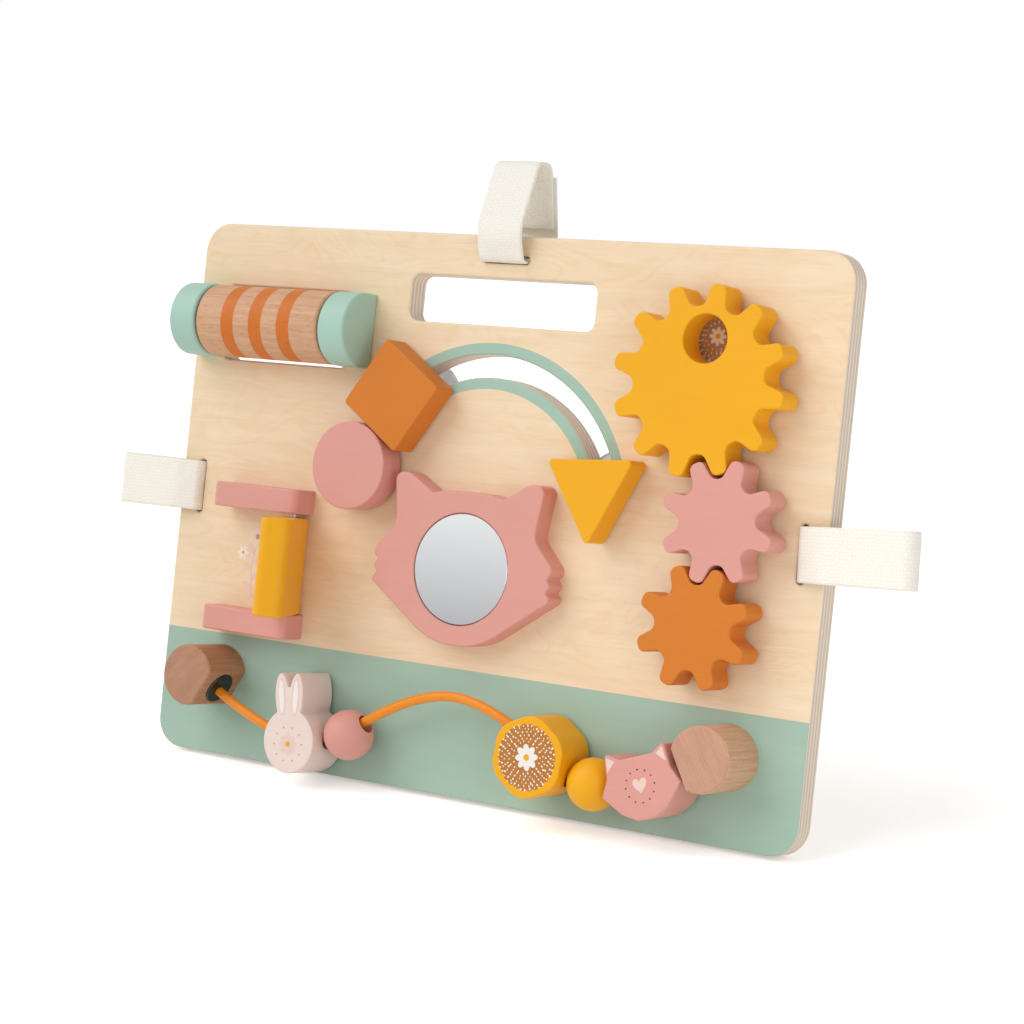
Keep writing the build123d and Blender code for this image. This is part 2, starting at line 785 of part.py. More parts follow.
with BuildPart() as cat_bead:
    with BuildSketch(front_plane(cat_x, cat_z, bead_back, cat_turn)) as outline:
        with BuildLine():
            Polyline(
                (0, cat_brow_z),
                (cat_ear_in, cat_brow_z),
                (cat_ear_tip_x, cat_ear_tip_z),
                (cat_ear_low_x, cat_ear_low_z),
                (cat_cheek_x, cat_cheek_z),
                (cat_jaw_x, cat_jaw_z),
                (cat_chin_x, cat_chin_z),
                (0, cat_chin_z),
            )
            mirror(about=Plane.YZ)
        make_face()
        tips = [spot for spot in outline.vertices() if spot.Y > (cat_brow_z + cat_ear_tip_z) / 2]
        soft = [spot for spot in outline.vertices()
                if spot.Y < cat_brow_z + corner_reach and abs(spot.X) > corner_reach]
        fillet(tips, cat_ear_round)
        fillet(soft, cat_face_round)
    extrude(amount=bead_t)
    rims = cat_bead.faces().sort_by(Axis.Y)
    fillet(rims[0].edges() + rims[-1].edges(), bead_round)
    add(bead_bore(cat_x, cat_z, cat_tilt, cat_bore), mode=Mode.SUBTRACT)
save(cat_bead, "cat_bead")


def make_ball(name, x, z, tilt, rise):
    """Round bead on the cord."""
    with BuildPart() as ball:
        with Locations((x, cord_y, z)):
            Sphere(ball_r)
        add(bead_bore(x, z, tilt, rise), mode=Mode.SUBTRACT)
    save(ball, name)


make_ball("pink_ball", pink_ball_x, pink_ball_z, pink_ball_tilt, pink_ball_bore)
make_ball("yellow_ball", yellow_ball_x, yellow_ball_z, yellow_ball_tilt, yellow_ball_bore)


def strap_parts(plane, reach, front, fold_front, fold_back, tail):
    """Loop of webbing through a slot, closed by a hook patch on a loop patch.

    The plane's X points out of the board along the loop and its Y points to the back.
    """
    fold = Vector(reach, fold_back)
    end = Vector(*tail)
    along = (end - fold).normalized()
    inward = Vector(along.Y, -along.X) if along.X * along.Y < 0 else Vector(-along.Y, along.X)
    lap = strap_t + 2 * patch_t
    lap_l = (end - fold).length - lap_start
    inner_end = fold + along * lap_start + inward * lap
    inner_turn = end + along * strap_slot_w + inward * lap
    with BuildPart() as strap:
        with BuildSketch(plane):
            with BuildLine():
                FilletPolyline(
                    inner_end,
                    inner_turn,
                    (0, slot_run),
                    (0, -slot_run),
                    front,
                    (reach, fold_front),
                    fold,
                    end,
                    radius=[slot_bend, slot_bend, slot_bend, loop_bend, loop_bend, loop_bend],
                )
                offset(amount=strap_t / 2, side=Side.BOTH)
            make_face()
        extrude(amount=strap_w / 2, both=True)
    patches = []
    for step in (1, 3):
        middle = fold + along * (lap_start + lap_l / 2) + inward * (strap_t / 2 + step * patch_t / 2)
        with BuildPart() as patch:
            with BuildSketch(plane):
                with Locations(Location((middle.X, middle.Y, 0), (0, 0, degrees(atan2(along.Y, along.X))))):
                    Rectangle(lap_l, patch_t)
            extrude(amount=patch_w / 2, both=True)
        patches.append(patch.part)
    return strap, patches


strap_y = 0
top_plane = Plane(origin=(0, strap_y, top_slot_z - strap_slot_w / 2 + strap_t / 2 + part_gap),
                  x_dir=(0, 0, 1), z_dir=(-1, 0, 0))
side_strap_x = side_slot_x - strap_slot_w / 2 + strap_t / 2 + part_gap
left_plane = Plane(origin=(-side_strap_x, strap_y, side_slot_z), x_dir=(-1, 0, 0), z_dir=(0, 0, -1))
tilt_x = cos(radians(right_strap_tilt))
tilt_z = sin(radians(right_strap_tilt))
right_plane = Plane(origin=(side_strap_x + right_strap_inset, strap_y, side_slot_z), x_dir=(tilt_x, 0, tilt_z),
                    z_dir=(-tilt_z, 0, tilt_x))
side_front = (side_front_out, side_front_y)
side_tail = (side_tail_out, side_tail_y)
top_strap, top_patches = strap_parts(top_plane, top_reach, (top_front_out, top_front_y),
                                     top_fold_front, top_fold_back, (top_tail_out, top_tail_y))
left_strap, left_patches = strap_parts(left_plane, side_reach, side_front,
                                       side_fold_front, side_fold_back, side_tail)
right_strap, right_patches = strap_parts(right_plane, side_reach, side_front,
                                         side_fold_front, side_fold_back, side_tail)
save(top_strap, "strap_top")
save(left_strap, "strap_left")
save(right_strap, "strap_right")
for index, name in enumerate(("closure_hook_patches", "closure_loop_patches")):
    with BuildPart() as patches:
        add(top_patches[index])
        add(left_patches[index])
        add(right_patches[index])
    save(patches, name)
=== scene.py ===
from math import atan2, cos, pi, radians, sin, tan

import bmesh
import bpy
from mathutils import Matrix, Vector


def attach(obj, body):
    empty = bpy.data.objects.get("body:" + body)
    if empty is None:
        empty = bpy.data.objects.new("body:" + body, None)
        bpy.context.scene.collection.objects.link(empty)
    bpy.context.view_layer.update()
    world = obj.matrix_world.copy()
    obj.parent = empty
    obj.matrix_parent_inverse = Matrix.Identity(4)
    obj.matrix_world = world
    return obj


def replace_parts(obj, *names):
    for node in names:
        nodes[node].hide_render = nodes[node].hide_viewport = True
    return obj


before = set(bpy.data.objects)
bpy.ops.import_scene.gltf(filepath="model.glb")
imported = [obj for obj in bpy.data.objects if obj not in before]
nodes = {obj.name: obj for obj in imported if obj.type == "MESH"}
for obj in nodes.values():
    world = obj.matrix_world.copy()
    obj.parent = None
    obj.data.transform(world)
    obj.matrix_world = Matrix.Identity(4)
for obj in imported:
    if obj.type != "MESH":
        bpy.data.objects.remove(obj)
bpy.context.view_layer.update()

mm = 0.001
print("frame loaded:", len(nodes), "nodes")


def hexColour(code):
    # sRGB hex to the linear values that Blender's sockets take
    out = []
    for place in (0, 2, 4):
        value = int(code[place:place + 2], 16) / 255
        out.append(value / 12.92 if value <= 0.04045 else ((value + 0.055) / 1.055) ** 2.4)
    return (*out, 1)


def feed(tree, node, inputs):
    # inputs, by name or in order, are values, outputs or nodes; a node stands for its first live output
    for socket, value in enumerate(inputs) if isinstance(inputs, tuple) else inputs.items():
        for source in value if isinstance(value, list) else [value]:
            if isinstance(source, bpy.types.Node):
                source = next(output for output in source.outputs if output.enabled)
            if isinstance(source, bpy.types.NodeSocket):
                tree.links.new(source, node.inputs[socket])
            else:
                node.inputs[socket].default_value = source


def addNode(tree, kind, settings=None, inputs=()):
    # settings are the node's own options
    node = tree.nodes.new(kind)
    for option, value in (settings or {}).items():
        setattr(node, option, value)
    feed(tree, node, inputs)
    return node


def newMaterial(name, roughness, **sockets):
    material = bpy.data.materials.new(name)
    material.use_nodes = True
    tree = material.node_tree
    shader = tree.nodes["Principled BSDF"]
    shader.inputs["Roughness"].default_value = roughness
    for socket, value in sockets.items():
        shader.inputs[socket.replace("_", " ")].default_value = value
    return material, tree, shader


def dress(obj, material):
    obj.data.materials.clear()
    obj.data.materials.append(material)


def meshObject(name, mesh):
    obj = bpy.data.objects.new(name, mesh)
    bpy.context.scene.collection.objects.link(obj)
    return obj


# the board leans back on the floor, so in its own frame the camera looks tipped; metres, degrees and lens mm
shot = {
    "place": (0.68404, -1.05230, 0.16181),
    "azimuth": 32.465, "elevation": -0.923, "roll": 5.869,
    "lens": 90.24,
}


def makeCamera(look):
    azimuth, elevation, roll = [radians(look[name]) for name in ("azimuth", "elevation", "roll")]
    forward = Vector((-sin(azimuth) * cos(elevation), cos(azimuth) * cos(elevation), sin(elevation)))
    level = Vector((cos(azimuth), sin(azimuth), 0))
    upright = level.cross(forward)
    across = cos(roll) * level + sin(roll) * upright
    rise = -sin(roll) * level + cos(roll) * upright
    lens = bpy.data.cameras.new("Camera")
    lens.lens = look["lens"]
    lens.sensor_width = 36
    lens.clip_start = 0.05
    camera = bpy.data.objects.new("Camera", lens)
    bpy.context.scene.collection.objects.link(camera)
    turn = Matrix((across, rise, -forward)).transposed()
    camera.matrix_world = Matrix.Translation(look["place"]) @ turn.to_4x4()
    bpy.context.scene.camera = camera


makeCamera(shot)


def grain(tree, point, axis, length, width, detail=3.0, bend=0.0):
    # streaks `length` long and `width` across, in metres, that run along one axis
    step = [1 / width] * 3
    step["XYZ".index(axis)] = 1 / length
    stretched = addNode(tree, "ShaderNodeMapping", None, {"Vector": point, "Scale": tuple(step)})
    return addNode(tree, "ShaderNodeTexNoise", None, {
        "Vector": stretched, "Scale": 1.0, "Detail": detail, "Roughness": 0.55, "Distortion": bend})


def stain(tree, base, colour, pattern, low=0.0, high=1.0, strength=1.0):
    # lays a colour over the base, more of it as the pattern rises from `low` to `high`
    amount = addNode(tree, "ShaderNodeMapRange", None, {
        "Value": pattern, "From Min": low, "From Max": high, "To Max": strength})
    base, colour = [hexColour(layer) if isinstance(layer, str) else layer for layer in (base, colour)]
    return addNode(tree, "ShaderNodeMix", {"data_type": "RGBA"}, {0: amount, 6: base, 7: colour})


def coat(tree, shader, colour, height, depth):
    # the surface's colour, and its relief of `depth` metres
    relief = addNode(tree, "ShaderNodeBump", None, {"Height": height, "Distance": depth})
    feed(tree, shader, {"Base Color": colour, "Normal": relief})


boardLook = {
    "veneer": "F4DFC0", "veneerDark": "EBCFA7", "cloud": "F2D7B6", "fleck": "D9B78C",
    "ringShade": "E8C488", "rings": 28,
    "plyLong": "EDE0D0", "plyEnd": "D8C4AE", "plyFibre": "BFA588",
    "band": "A6C1B0", "bandTop": 62.7,
    "arch": "A6C3B3", "archCentre": 139.3, "archFoot": 157.5,
    "archBands": ((60.8, 66.5), (77.5, 83.3)), "inkDark": "93B2A0",
    "plies": 9, "thickness": 13,
    "facing": 0.62,  # a face turned further than this from the front counts as an edge
}


def birchPly(look):
    # birch plywood, rotary-cut and lacquered: pale satin face with faint cloudy figure, striped plies at its edges
    material, tree, shader = newMaterial("lacquered birch plywood", 0.5, Specular_IOR_Level=0.3)
    place = addNode(tree, "ShaderNodeTexCoord")
    spot = place.outputs["Object"]
    axes = addNode(tree, "ShaderNodeSeparateXYZ", None, (spot,)).outputs
    facing = addNode(tree, "ShaderNodeSeparateXYZ", None, (place.outputs["Normal"],)).outputs["Y"]
    figure = grain(tree, spot, "X", 95 * mm, 9 * mm, 3.0, 1.2)
    mottle = grain(tree, spot, "X", 38 * mm, 15 * mm, 2.0, 0.8)
    fibre = grain(tree, spot, "X", 22 * mm, 0.7 * mm, 2.0)
    fleck = grain(tree, spot, "X", 4 * mm, 0.45 * mm, 1.0)
    face = stain(tree, look["veneer"], look["veneerDark"], figure, 0.36, 0.7, 0.75)
    face = stain(tree, face, look["cloud"], mottle, 0.35, 0.75, 0.8)
    # growth rings cut at a slant: thin yellow contours that fade in and out
    swell = grain(tree, spot, "X", 75 * mm, 30 * mm, 1.0, 1.5)
    phase = addNode(tree, "ShaderNodeMath", {"operation": "MULTIPLY"}, (swell, look["rings"]))
    wave = addNode(tree, "ShaderNodeMath", {"operation": "SINE"}, (phase,))
    offLine = addNode(tree, "ShaderNodeMath", {"operation": "ABSOLUTE"}, (wave,))
    line = addNode(tree, "ShaderNodeMapRange", None, {
        "Value": offLine, "From Min": 0.8, "From Max": 0.0, "To Max": 0.3})
    fade = addNode(tree, "ShaderNodeMapRange", None, {"Value": mottle, "From Min": 0.35, "From Max": 0.6})
    contour = addNode(tree, "ShaderNodeMath", {"operation": "MULTIPLY"}, (line, fade))
    face = stain(tree, face, look["ringShade"], contour)
    face = stain(tree, face, look["fleck"], fibre, 0.45, 0.75, 0.16)
    face = stain(tree, face, look["fleck"], fleck, 0.7, 0.82, 0.22)
    # every second ply shows its end grain
    ply = addNode(tree, "ShaderNodeMath", {"operation": "MULTIPLY_ADD"},
                  (axes["Y"], look["plies"] / (look["thickness"] * mm), look["plies"] / 2))
    inPly = addNode(tree, "ShaderNodeMath", {"operation": "PINGPONG"}, (ply, 1.0))
    edge = stain(tree, look["plyLong"], look["plyEnd"], inPly, 0.4, 0.6)
    edge = stain(tree, edge, look["plyFibre"], grain(tree, spot, "Y", 3 * mm, 0.8 * mm), strength=0.2)
    turned = addNode(tree, "ShaderNodeMath", {"operation": "ABSOLUTE"}, (facing,))
    onEdge = addNode(tree, "ShaderNodeMath", {"operation": "LESS_THAN"}, (turned, look["facing"]))
    bare = stain(tree, face, edge, onEdge)
    # printed colour, on the play side only
    front = addNode(tree, "ShaderNodeMath", {"operation": "LESS_THAN"}, (facing, -look["facing"]))
    low = addNode(tree, "ShaderNodeMath", {"operation": "LESS_THAN"}, (axes["Z"], look["bandTop"] * mm))
    above = addNode(tree, "ShaderNodeMath", {"operation": "GREATER_THAN"}, (axes["Z"], look["archFoot"] * mm))
    flat = addNode(tree, "ShaderNodeVectorMath", {"operation": "MULTIPLY"}, (spot, (1, 0, 1)))
    away = addNode(tree, "ShaderNodeVectorMath", {"operation": "DISTANCE"}, (flat, (0, 0, look["archCentre"] * mm)))
    bands = [addNode(tree, "ShaderNodeMath", {"operation": "COMPARE"},
                     (away, (near + far) / 2 * mm, (far - near) / 2 * mm)) for near, far in look["archBands"]]
    either = addNode(tree, "ShaderNodeMath", {"operation": "ADD"}, tuple(bands))
    arch = addNode(tree, "ShaderNodeMath", {"operation": "MULTIPLY"}, (either, above))
    inked = addNode(tree, "ShaderNodeMath", {"operation": "MAXIMUM"}, (low, arch))
    printed = addNode(tree, "ShaderNodeMath", {"operation": "MULTIPLY"}, (inked, front))
    ink = stain(tree, look["arch"], look["band"], low)
    ink = stain(tree, ink, look["inkDark"], figure, 0.4, 0.75, 0.2)
    ink = stain(tree, ink, look["inkDark"], fibre, 0.5, 0.8, 0.12)
    coat(tree, shader, stain(tree, bare, ink, printed), fibre, 0.03 * mm)
    return material


def satinPaint(name, colour, shade):
    # water-based satin paint sprayed on beech: even colour, fine orange peel, the pores just telegraphing through;
    # real pores are a tenth as wide and wouldn't show
    material, tree, shader = newMaterial(name, 0.46, Specular_IOR_Level=0.3)
    spot = addNode(tree, "ShaderNodeTexCoord").outputs["Object"]
    pores = grain(tree, spot, "X", 14 * mm, 1.2 * mm)
    cloud = grain(tree, spot, "X", 40 * mm, 18 * mm, 1.0)
    clouded = addNode(tree, "ShaderNodeMix", {"data_type": "FLOAT"}, {0: 0.5, 2: cloud, 3: pores})
    peel = addNode(tree, "ShaderNodeTexNoise", None, {"Vector": spot, "Scale": 1 / (1.1 * mm), "Detail": 2.0})
    skin = addNode(tree, "ShaderNodeMix", {"data_type": "FLOAT"}, {0: 0.7, 2: peel, 3: pores})
    coat(tree, shader, stain(tree, colour, shade, clouded), skin, 0.03 * mm)
    return material


paints = {
    "pink": satinPaint("satin pink paint on beech", "E0A296", "D8968B"),
    "yellow": satinPaint("satin yellow paint on beech", "F2AF14", "ECA70A"),
    "orange": satinPaint("satin orange paint on beech", "D77E2A", "CE741F"),
    "mint": satinPaint("satin mint paint on beech", "B0D1C2", "A4C8B8"),
    "blush": satinPaint("satin blush paint on beech", "EEDCD4", "E8D2C8"),
}

rollerLook = {
    "wood": "DBB08D", "woodDark": "C99772", "pore": "AA7550",
    "stripe": "D0701F", "stripeDark": "AC5818",
    "centre": -129.35, "stripes": (-17.85, 0.0, 17.85), "stripeWidth": 8,
}


def beechRoller(look):
    # steamed beech, turned and lacquered: short brown pore dashes along the grain, three rings of orange stain
    material, tree, shader = newMaterial("turned beech with orange rings", 0.48, Specular_IOR_Level=0.3)
    spot = addNode(tree, "ShaderNodeTexCoord").outputs["Object"]
    along = addNode(tree, "ShaderNodeSeparateXYZ", None, (spot,)).outputs["X"]
    streak = grain(tree, spot, "X", 40 * mm, 1.8 * mm, 3.0, 0.4)
    dash = grain(tree, spot, "X", 3.5 * mm, 0.35 * mm, 1.0)
    pore = addNode(tree, "ShaderNodeMapRange", None, {
        "Value": dash, "From Min": 0.6, "From Max": 0.74, "To Max": 0.7})
    wood = stain(tree, look["wood"], look["woodDark"], streak, 0.3, 0.7)
    tone = stain(tree, wood, look["pore"], pore)
    ring = stain(tree, look["stripe"], look["stripeDark"], pore, strength=0.8)
    for offset in look["stripes"]:
        onRing = addNode(tree, "ShaderNodeMath", {"operation": "COMPARE"},
                         (along, (look["centre"] + offset) * mm, look["stripeWidth"] / 2 * mm))
        tone = stain(tree, tone, ring, onRing)
    relief = addNode(tree, "ShaderNodeMath", {"operation": "SUBTRACT"}, (streak, pore))
    coat(tree, shader, tone, relief, 0.04 * mm)
    return material


def logWood(name, look):
    # sawn and oiled hardwood: slanting saw streaks on the end grain, long grain round the barrel
    material, tree, shader = newMaterial(name, 0.52, Specular_IOR_Level=0.3)
    place = addNode(tree, "ShaderNodeTexCoord")
    spot = place.outputs["Object"]
    facing = addNode(tree, "ShaderNodeSeparateXYZ", None, (place.outputs["Normal"],)).outputs["Y"]
    slanted = addNode(tree, "ShaderNodeMapping", None, {"Vector": spot, "Rotation": (0, radians(look["slant"]), 0)})
    endStreak = grain(tree, slanted, "X", 16 * mm, 0.7 * mm, 2.0)
    endCloud = grain(tree, slanted, "X", 18 * mm, 6 * mm, 1.0)
    endPore = grain(tree, slanted, "X", 1.8 * mm, 0.35 * mm, 1.0)
    sideStreak = grain(tree, spot, "Y", 26 * mm, 1.1 * mm)
    sidePore = grain(tree, spot, "Y", 4 * mm, 0.4 * mm, 1.0)
    turned = addNode(tree, "ShaderNodeMath", {"operation": "ABSOLUTE"}, (facing,))
    onEnd = addNode(tree, "ShaderNodeMath", {"operation": "GREATER_THAN"}, (turned, 0.7))
    endTone = addNode(tree, "ShaderNodeMix", {"data_type": "FLOAT"}, {0: 0.6, 2: endCloud, 3: endStreak})
    endWood = stain(tree, look["end"], look["endDark"], endTone, 0.36, 0.66)
    endWood = stain(tree, endWood, look["pore"], endPore, 0.6, 0.76, 0.35)
    sideWood = stain(tree, look["side"], look["sideDark"], sideStreak, 0.3, 0.7)
    sideWood = stain(tree, sideWood, look["pore"], sidePore, 0.6, 0.76, 0.4)
    relief = addNode(tree, "ShaderNodeMix", {"data_type": "FLOAT"}, {0: onEnd, 2: sideStreak, 3: endStreak})
    coat(tree, shader, stain(tree, sideWood, endWood, onEnd), relief, 0.05 * mm)
    return material


leftLog = {
    "end": "B98B70", "endDark": "A97A60", "side": "BA8A69", "sideDark": "A57655", "pore": "7D5840", "slant": 35,
}
rightLog = {
    "end": "CB9D84", "endDark": "BD8D74", "side": "D8AE8D", "sideDark": "C69775", "pore": "93694D", "slant": -55,
}


def mouldedPlastic(name, colour, speck, roughness, clear=0.0):
    # injection-moulded plastic: even colour with a spark-eroded grain, drawn coarser than the real 0.05 mm so that
    # it shows; unfilled, it lets some light through
    material, tree, shader = newMaterial(name, roughness, Transmission_Weight=clear)
    spot = addNode(tree, "ShaderNodeTexCoord").outputs["Object"]
    fine = addNode(tree, "ShaderNodeTexNoise", None, {"Vector": spot, "Scale": 1 / (0.4 * mm), "Detail": 1.0})
    coat(tree, shader, stain(tree, colour, speck, fine), fine, 0.01 * mm)
    return material


def bareMetal(name, colour, dull, roughness, brush):
    # metal with tool marks that break the highlight into streaks, drawn some three times too wide so that they show
    material, tree, shader = newMaterial(name, roughness, Metallic=1.0)
    spot = addNode(tree, "ShaderNodeTexCoord").outputs["Object"]
    marks = grain(tree, spot, brush, 4 * mm, 0.15 * mm, 1.0)
    spread = addNode(tree, "ShaderNodeMapRange", None, {
        "Value": marks, "To Min": roughness - 0.08, "To Max": roughness + 0.1})
    feed(tree, shader, {"Roughness": spread})
    coat(tree, shader, stain(tree, colour, dull, marks), marks, 0.01 * mm)
    return material


# top and foot are the colours of a painted reflection: pale above, greyer below
mirrorLook = {"top": "E5E6E7", "foot": "B4B6B8", "range": (84, 138), "bow": 0.02}


def acrylicMirror(look):
    # mirrored acrylic sheet: neutral and a little soft; its colour is painted greyer towards the bottom, a painted
    # reflection of the darker floor
    material, tree, shader = newMaterial("mirrored acrylic", 0.16, Metallic=1.0)
    spot = addNode(tree, "ShaderNodeTexCoord").outputs["Object"]
    height = addNode(tree, "ShaderNodeSeparateXYZ", None, (spot,)).outputs["Z"]
    wave = addNode(tree, "ShaderNodeTexNoise", None, {"Vector": spot, "Scale": 1 / (30 * mm), "Detail": 0.0})
    low, high = look["range"]
    # painted reflection: the colour runs from the foot colour to the top colour over the height range
    coat(tree, shader, stain(tree, look["foot"], look["top"], height, low * mm, high * mm), wave, look["bow"] * mm)
    return material


blackNylon = mouldedPlastic("black nylon, polished mould", "100F0E", "171513", 0.16)
paleNylon = mouldedPlastic("pale grey nylon, moulded", "DCDDDB", "D2D3D1", 0.42)
frostedNylon = mouldedPlastic("unfilled nylon, frosted", "F1EFF1", "E9E7EA", 0.5, 0.55)
hookTape = mouldedPlastic("nylon hook tape", "EBE6DC", "DED8CC", 0.75)
steel = bareMetal("drawn steel", "B4B6B8", "A2A3A4", 0.32, "X")
zinc = bareMetal("zinc-plated steel", "B2B4B6", "9C9D9E", 0.35, "Z")
brass = bareMetal("turned brass", "C8A24C", "B08C40", 0.3, "Y")
mirror = acrylicMirror(mirrorLook)
print("finishes made")


webLook = {"yarn": "FAF8F1", "gap": "F1E8D6", "warp": 1.6, "weft": 1.4, "depth": 0.12, "waver": 2.2}


def cottonWebbing(look):
    # plain-woven cotton webbing: small soft squares of off-white yarn, with painted shade, darker and yellower, in
    # the gaps between them
    material, tree, shader = newMaterial("plain-woven cotton webbing", 0.9, Sheen_Weight=0.1, Specular_IOR_Level=0.2)
    flat = addNode(tree, "ShaderNodeUVMap", {"uv_map": "weave"})
    axes = addNode(tree, "ShaderNodeSeparateXYZ", None, (flat,)).outputs
    slow = addNode(tree, "ShaderNodeTexNoise", None, {"Vector": flat, "Scale": 1 / (3.5 * mm), "Detail": 1.0})
    fuzz = addNode(tree, "ShaderNodeTexNoise", None, {"Vector": flat, "Scale": 1 / (0.45 * mm), "Detail": 2.0})
    drift = addNode(tree, "ShaderNodeMath", {"operation": "MULTIPLY"}, (slow, look["waver"] * mm))
    waves = []
    for axis, pitch in (("X", look["warp"]), ("Y", look["weft"])):
        place = addNode(tree, "ShaderNodeMath", {"operation": "ADD"}, (axes[axis], drift))
        angle = addNode(tree, "ShaderNodeMath", {"operation": "MULTIPLY"}, (place, pi / (pitch * mm)))
        waves.append(addNode(tree, "ShaderNodeMath", {"operation": "SINE"}, (angle,)))
    over = addNode(tree, "ShaderNodeMath", {"operation": "MULTIPLY"}, tuple(waves))
    dome = addNode(tree, "ShaderNodeMath", {"operation": "ABSOLUTE"}, (over,))
    # yarn domes, the upper ones a little prouder, with fuzz on all of them
    height = addNode(tree, "ShaderNodeMath", {"operation": "MULTIPLY"}, (fuzz, 0.4))
    for share, wave in ((0.2, over), (0.6, dome)):
        height = addNode(tree, "ShaderNodeMath", {"operation": "MULTIPLY_ADD"}, (wave, share, height))
    # painted shade: the lower the weave, the more of the darker gap colour
    deep = addNode(tree, "ShaderNodeMapRange", None, {
        "Value": height, "From Min": 0.1, "From Max": 0.75, "To Min": 0.8, "To Max": 0.0})
    coat(tree, shader, stain(tree, look["yarn"], look["gap"], deep), height, look["depth"] * mm)
    return material


webbing = cottonWebbing(webLook)

strapSize = {
    "width": 25.5, "thickness": 1.6, "selvedge": 0.35, "across": 22, "step": 0.8,
    "slotRun": 9.5, "slotWidth": 4, "lap": 3.6, "lapStart": 6.0,
    "slotBend": 2.6, "frontBend": 18, "loopBend": 5.0,
    "edgeThin": 0.12,  # how much thinner the webbing is at its very edge
    # waves in the cloth: height, then radians for each mm along and across
    "waves": ((0.06, 0.31, 0.22), (0.04, 0.77, -0.4)),
}
# each loop is drawn as seen along its edge: x out from the board, y towards the back
sideLoop = {"front": (13.5, -12.3), "fold": ((54.2, -8.4), (54.2, 2.0)), "tail": (22.0, 12.8), "flare": 0.045}
rightTilt = radians(2.8)
strapPlaces = {
    "strap_top": {
        "origin": (0, 0, 262.6), "out": (0, 0, 1), "side": (-1, 0, 0),
        "front": (13.9, -15.2), "fold": ((48.9, -3.6), (48.9, 7.5)), "tail": (18.9, 14.5), "flare": 0.0,
    },
    "strap_left": {"origin": (-174.1, 0, 137.4), "out": (-1, 0, 0), "side": (0, 0, -1), **sideLoop},
    "strap_right": {
        "origin": (174.7, 0, 137.4), "out": (cos(rightTilt), 0, sin(rightTilt)),
        "side": (-sin(rightTilt), 0, cos(rightTilt)), **sideLoop,
    },
}


def roundedLine(corners, bends, step):
    # straight runs with a round bend at each inner corner, as points `step` apart
    points = [Vector(corners[0])]
    for before, corner, after, bend in zip(corners, corners[1:], corners[2:], bends):
        before, corner, after = Vector(before), Vector(corner), Vector(after)
        inward, outward = (before - corner).normalized(), (after - corner).normalized()
        half = inward.angle(outward) / 2
        back = bend / tan(half)
        middle = corner + (inward + outward).normalized() * bend / sin(half)
        start, end = corner + inward * back, corner + outward * back
        first = atan2(start.y - middle.y, start.x - middle.x)
        sweep = (atan2(end.y - middle.y, end.x - middle.x) - first + pi) % (2 * pi) - pi
        pieces = max(3, round(abs(sweep) * bend / step))
        for index in range(pieces + 1):
            angle = first + sweep * index / pieces
            points.append(middle + Vector((cos(angle), sin(angle))) * bend)
    points.append(Vector(corners[-1]))
    filled = [points[0]]
    for point in points[1:]:
        start = filled[-1]
        count = max(1, round((point - start).length / step))
        for index in range(1, count + 1):
            filled.append(start.lerp(point, index / count))
    return filled


def lapRun(place):
    # the back run of the loop: its start, its heading, the side that the lap lies on, and its length
    foldBack, tail = Vector(place["fold"][1]), Vector(place["tail"])
    along = (tail - foldBack).normalized()
    inward = Vector((along.y, -along.x))
    if along.x * along.y > 0:
        inward = -inward
    return foldBack, along, inward, (tail - foldBack).length


def strapLine(place, size):
    foldBack, along, inward, length = lapRun(place)
    tail = foldBack + along * length
    innerEnd = foldBack + along * size["lapStart"] + inward * size["lap"]
    innerTurn = tail + along * size["slotWidth"] + inward * size["lap"]
    corners = [innerEnd, innerTurn, (0, size["slotRun"]), (0, -size["slotRun"]), place["front"],
               place["fold"][0], foldBack, tail]
    bends = [size["slotBend"]] * 3 + [size["frontBend"]] + [size["loopBend"]] * 2
    return roundedLine(corners, bends, size["step"])


def makeStrap(name, place, size):
    line = strapLine(place, size)
    origin, out, side = Vector(place["origin"]), Vector(place["out"]), Vector(place["side"])
    depth = Vector((0, 1, 0))
    half, thick = size["width"] / 2, size["thickness"] / 2
    # cross-section with a rounded selvedge: places across, and heights from -1 to 1
    flat = half - size["selvedge"]
    top = [(-flat + 2 * flat * index / size["across"], 1) for index in range(size["across"] + 1)]
    bend = (half - 0.08, 0.6)
    right = [*top, bend, (half, 0)]
    ring = right + [(w, -t) for w, t in reversed(right[:-1])] + [(-half, 0), (-bend[0], bend[1])]
    work = bmesh.new()
    uv = work.loops.layers.uv.new("weave")
    rows = []
    travelled = 0
    for index, point in enumerate(line):
        before, after = line[max(index - 1, 0)], line[min(index + 1, len(line) - 1)]
        travelled += (point - before).length
        heading = (after - before).normalized()
        normal = Vector((-heading.y, heading.x))
        spread = 1 + place["flare"] * min(1, max(0, point.x / place["fold"][0][0]))
        row = []
        for w, t in ring:
            lift = sum(height * sin(travelled * along + w * across) for height, along, across in size["waves"])
            spot = point + normal * (t * thick * (1 - size["edgeThin"] * (w / half) ** 6) + lift)
            corner = (origin + out * spot.x + depth * spot.y + side * w * spread) * mm
            row.append((work.verts.new(corner), ((w + half) * mm, travelled * mm)))
        rows.append(row)
    loops = []
    for upper, lower in zip(rows, rows[1:]):
        for index in range(len(ring)):
            other = (index + 1) % len(ring)
            loops.append((upper[index], upper[other], lower[other], lower[index]))
    for corners in [*loops, rows[0], rows[-1]]:
        face = work.faces.new([vertex for vertex, flatPlace in corners])
        face.smooth = len(corners) == 4
        for loop, (vertex, flatPlace) in zip(face.loops, corners):
            loop[uv].uv = flatPlace
    bmesh.ops.recalc_face_normals(work, faces=work.faces)
    mesh = bpy.data.meshes.new(name + "Webbing")
    work.to_mesh(mesh)
    work.free()
    obj = meshObject(name + "Webbing", mesh)
    dress(obj, webbing)
    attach(obj, "board_assembly")
    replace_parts(obj, name)
    print(name, "webbing", round(travelled, 1), "mm long")


for strapName, strapPlace in strapPlaces.items():
    makeStrap(strapName, strapPlace, strapSize)

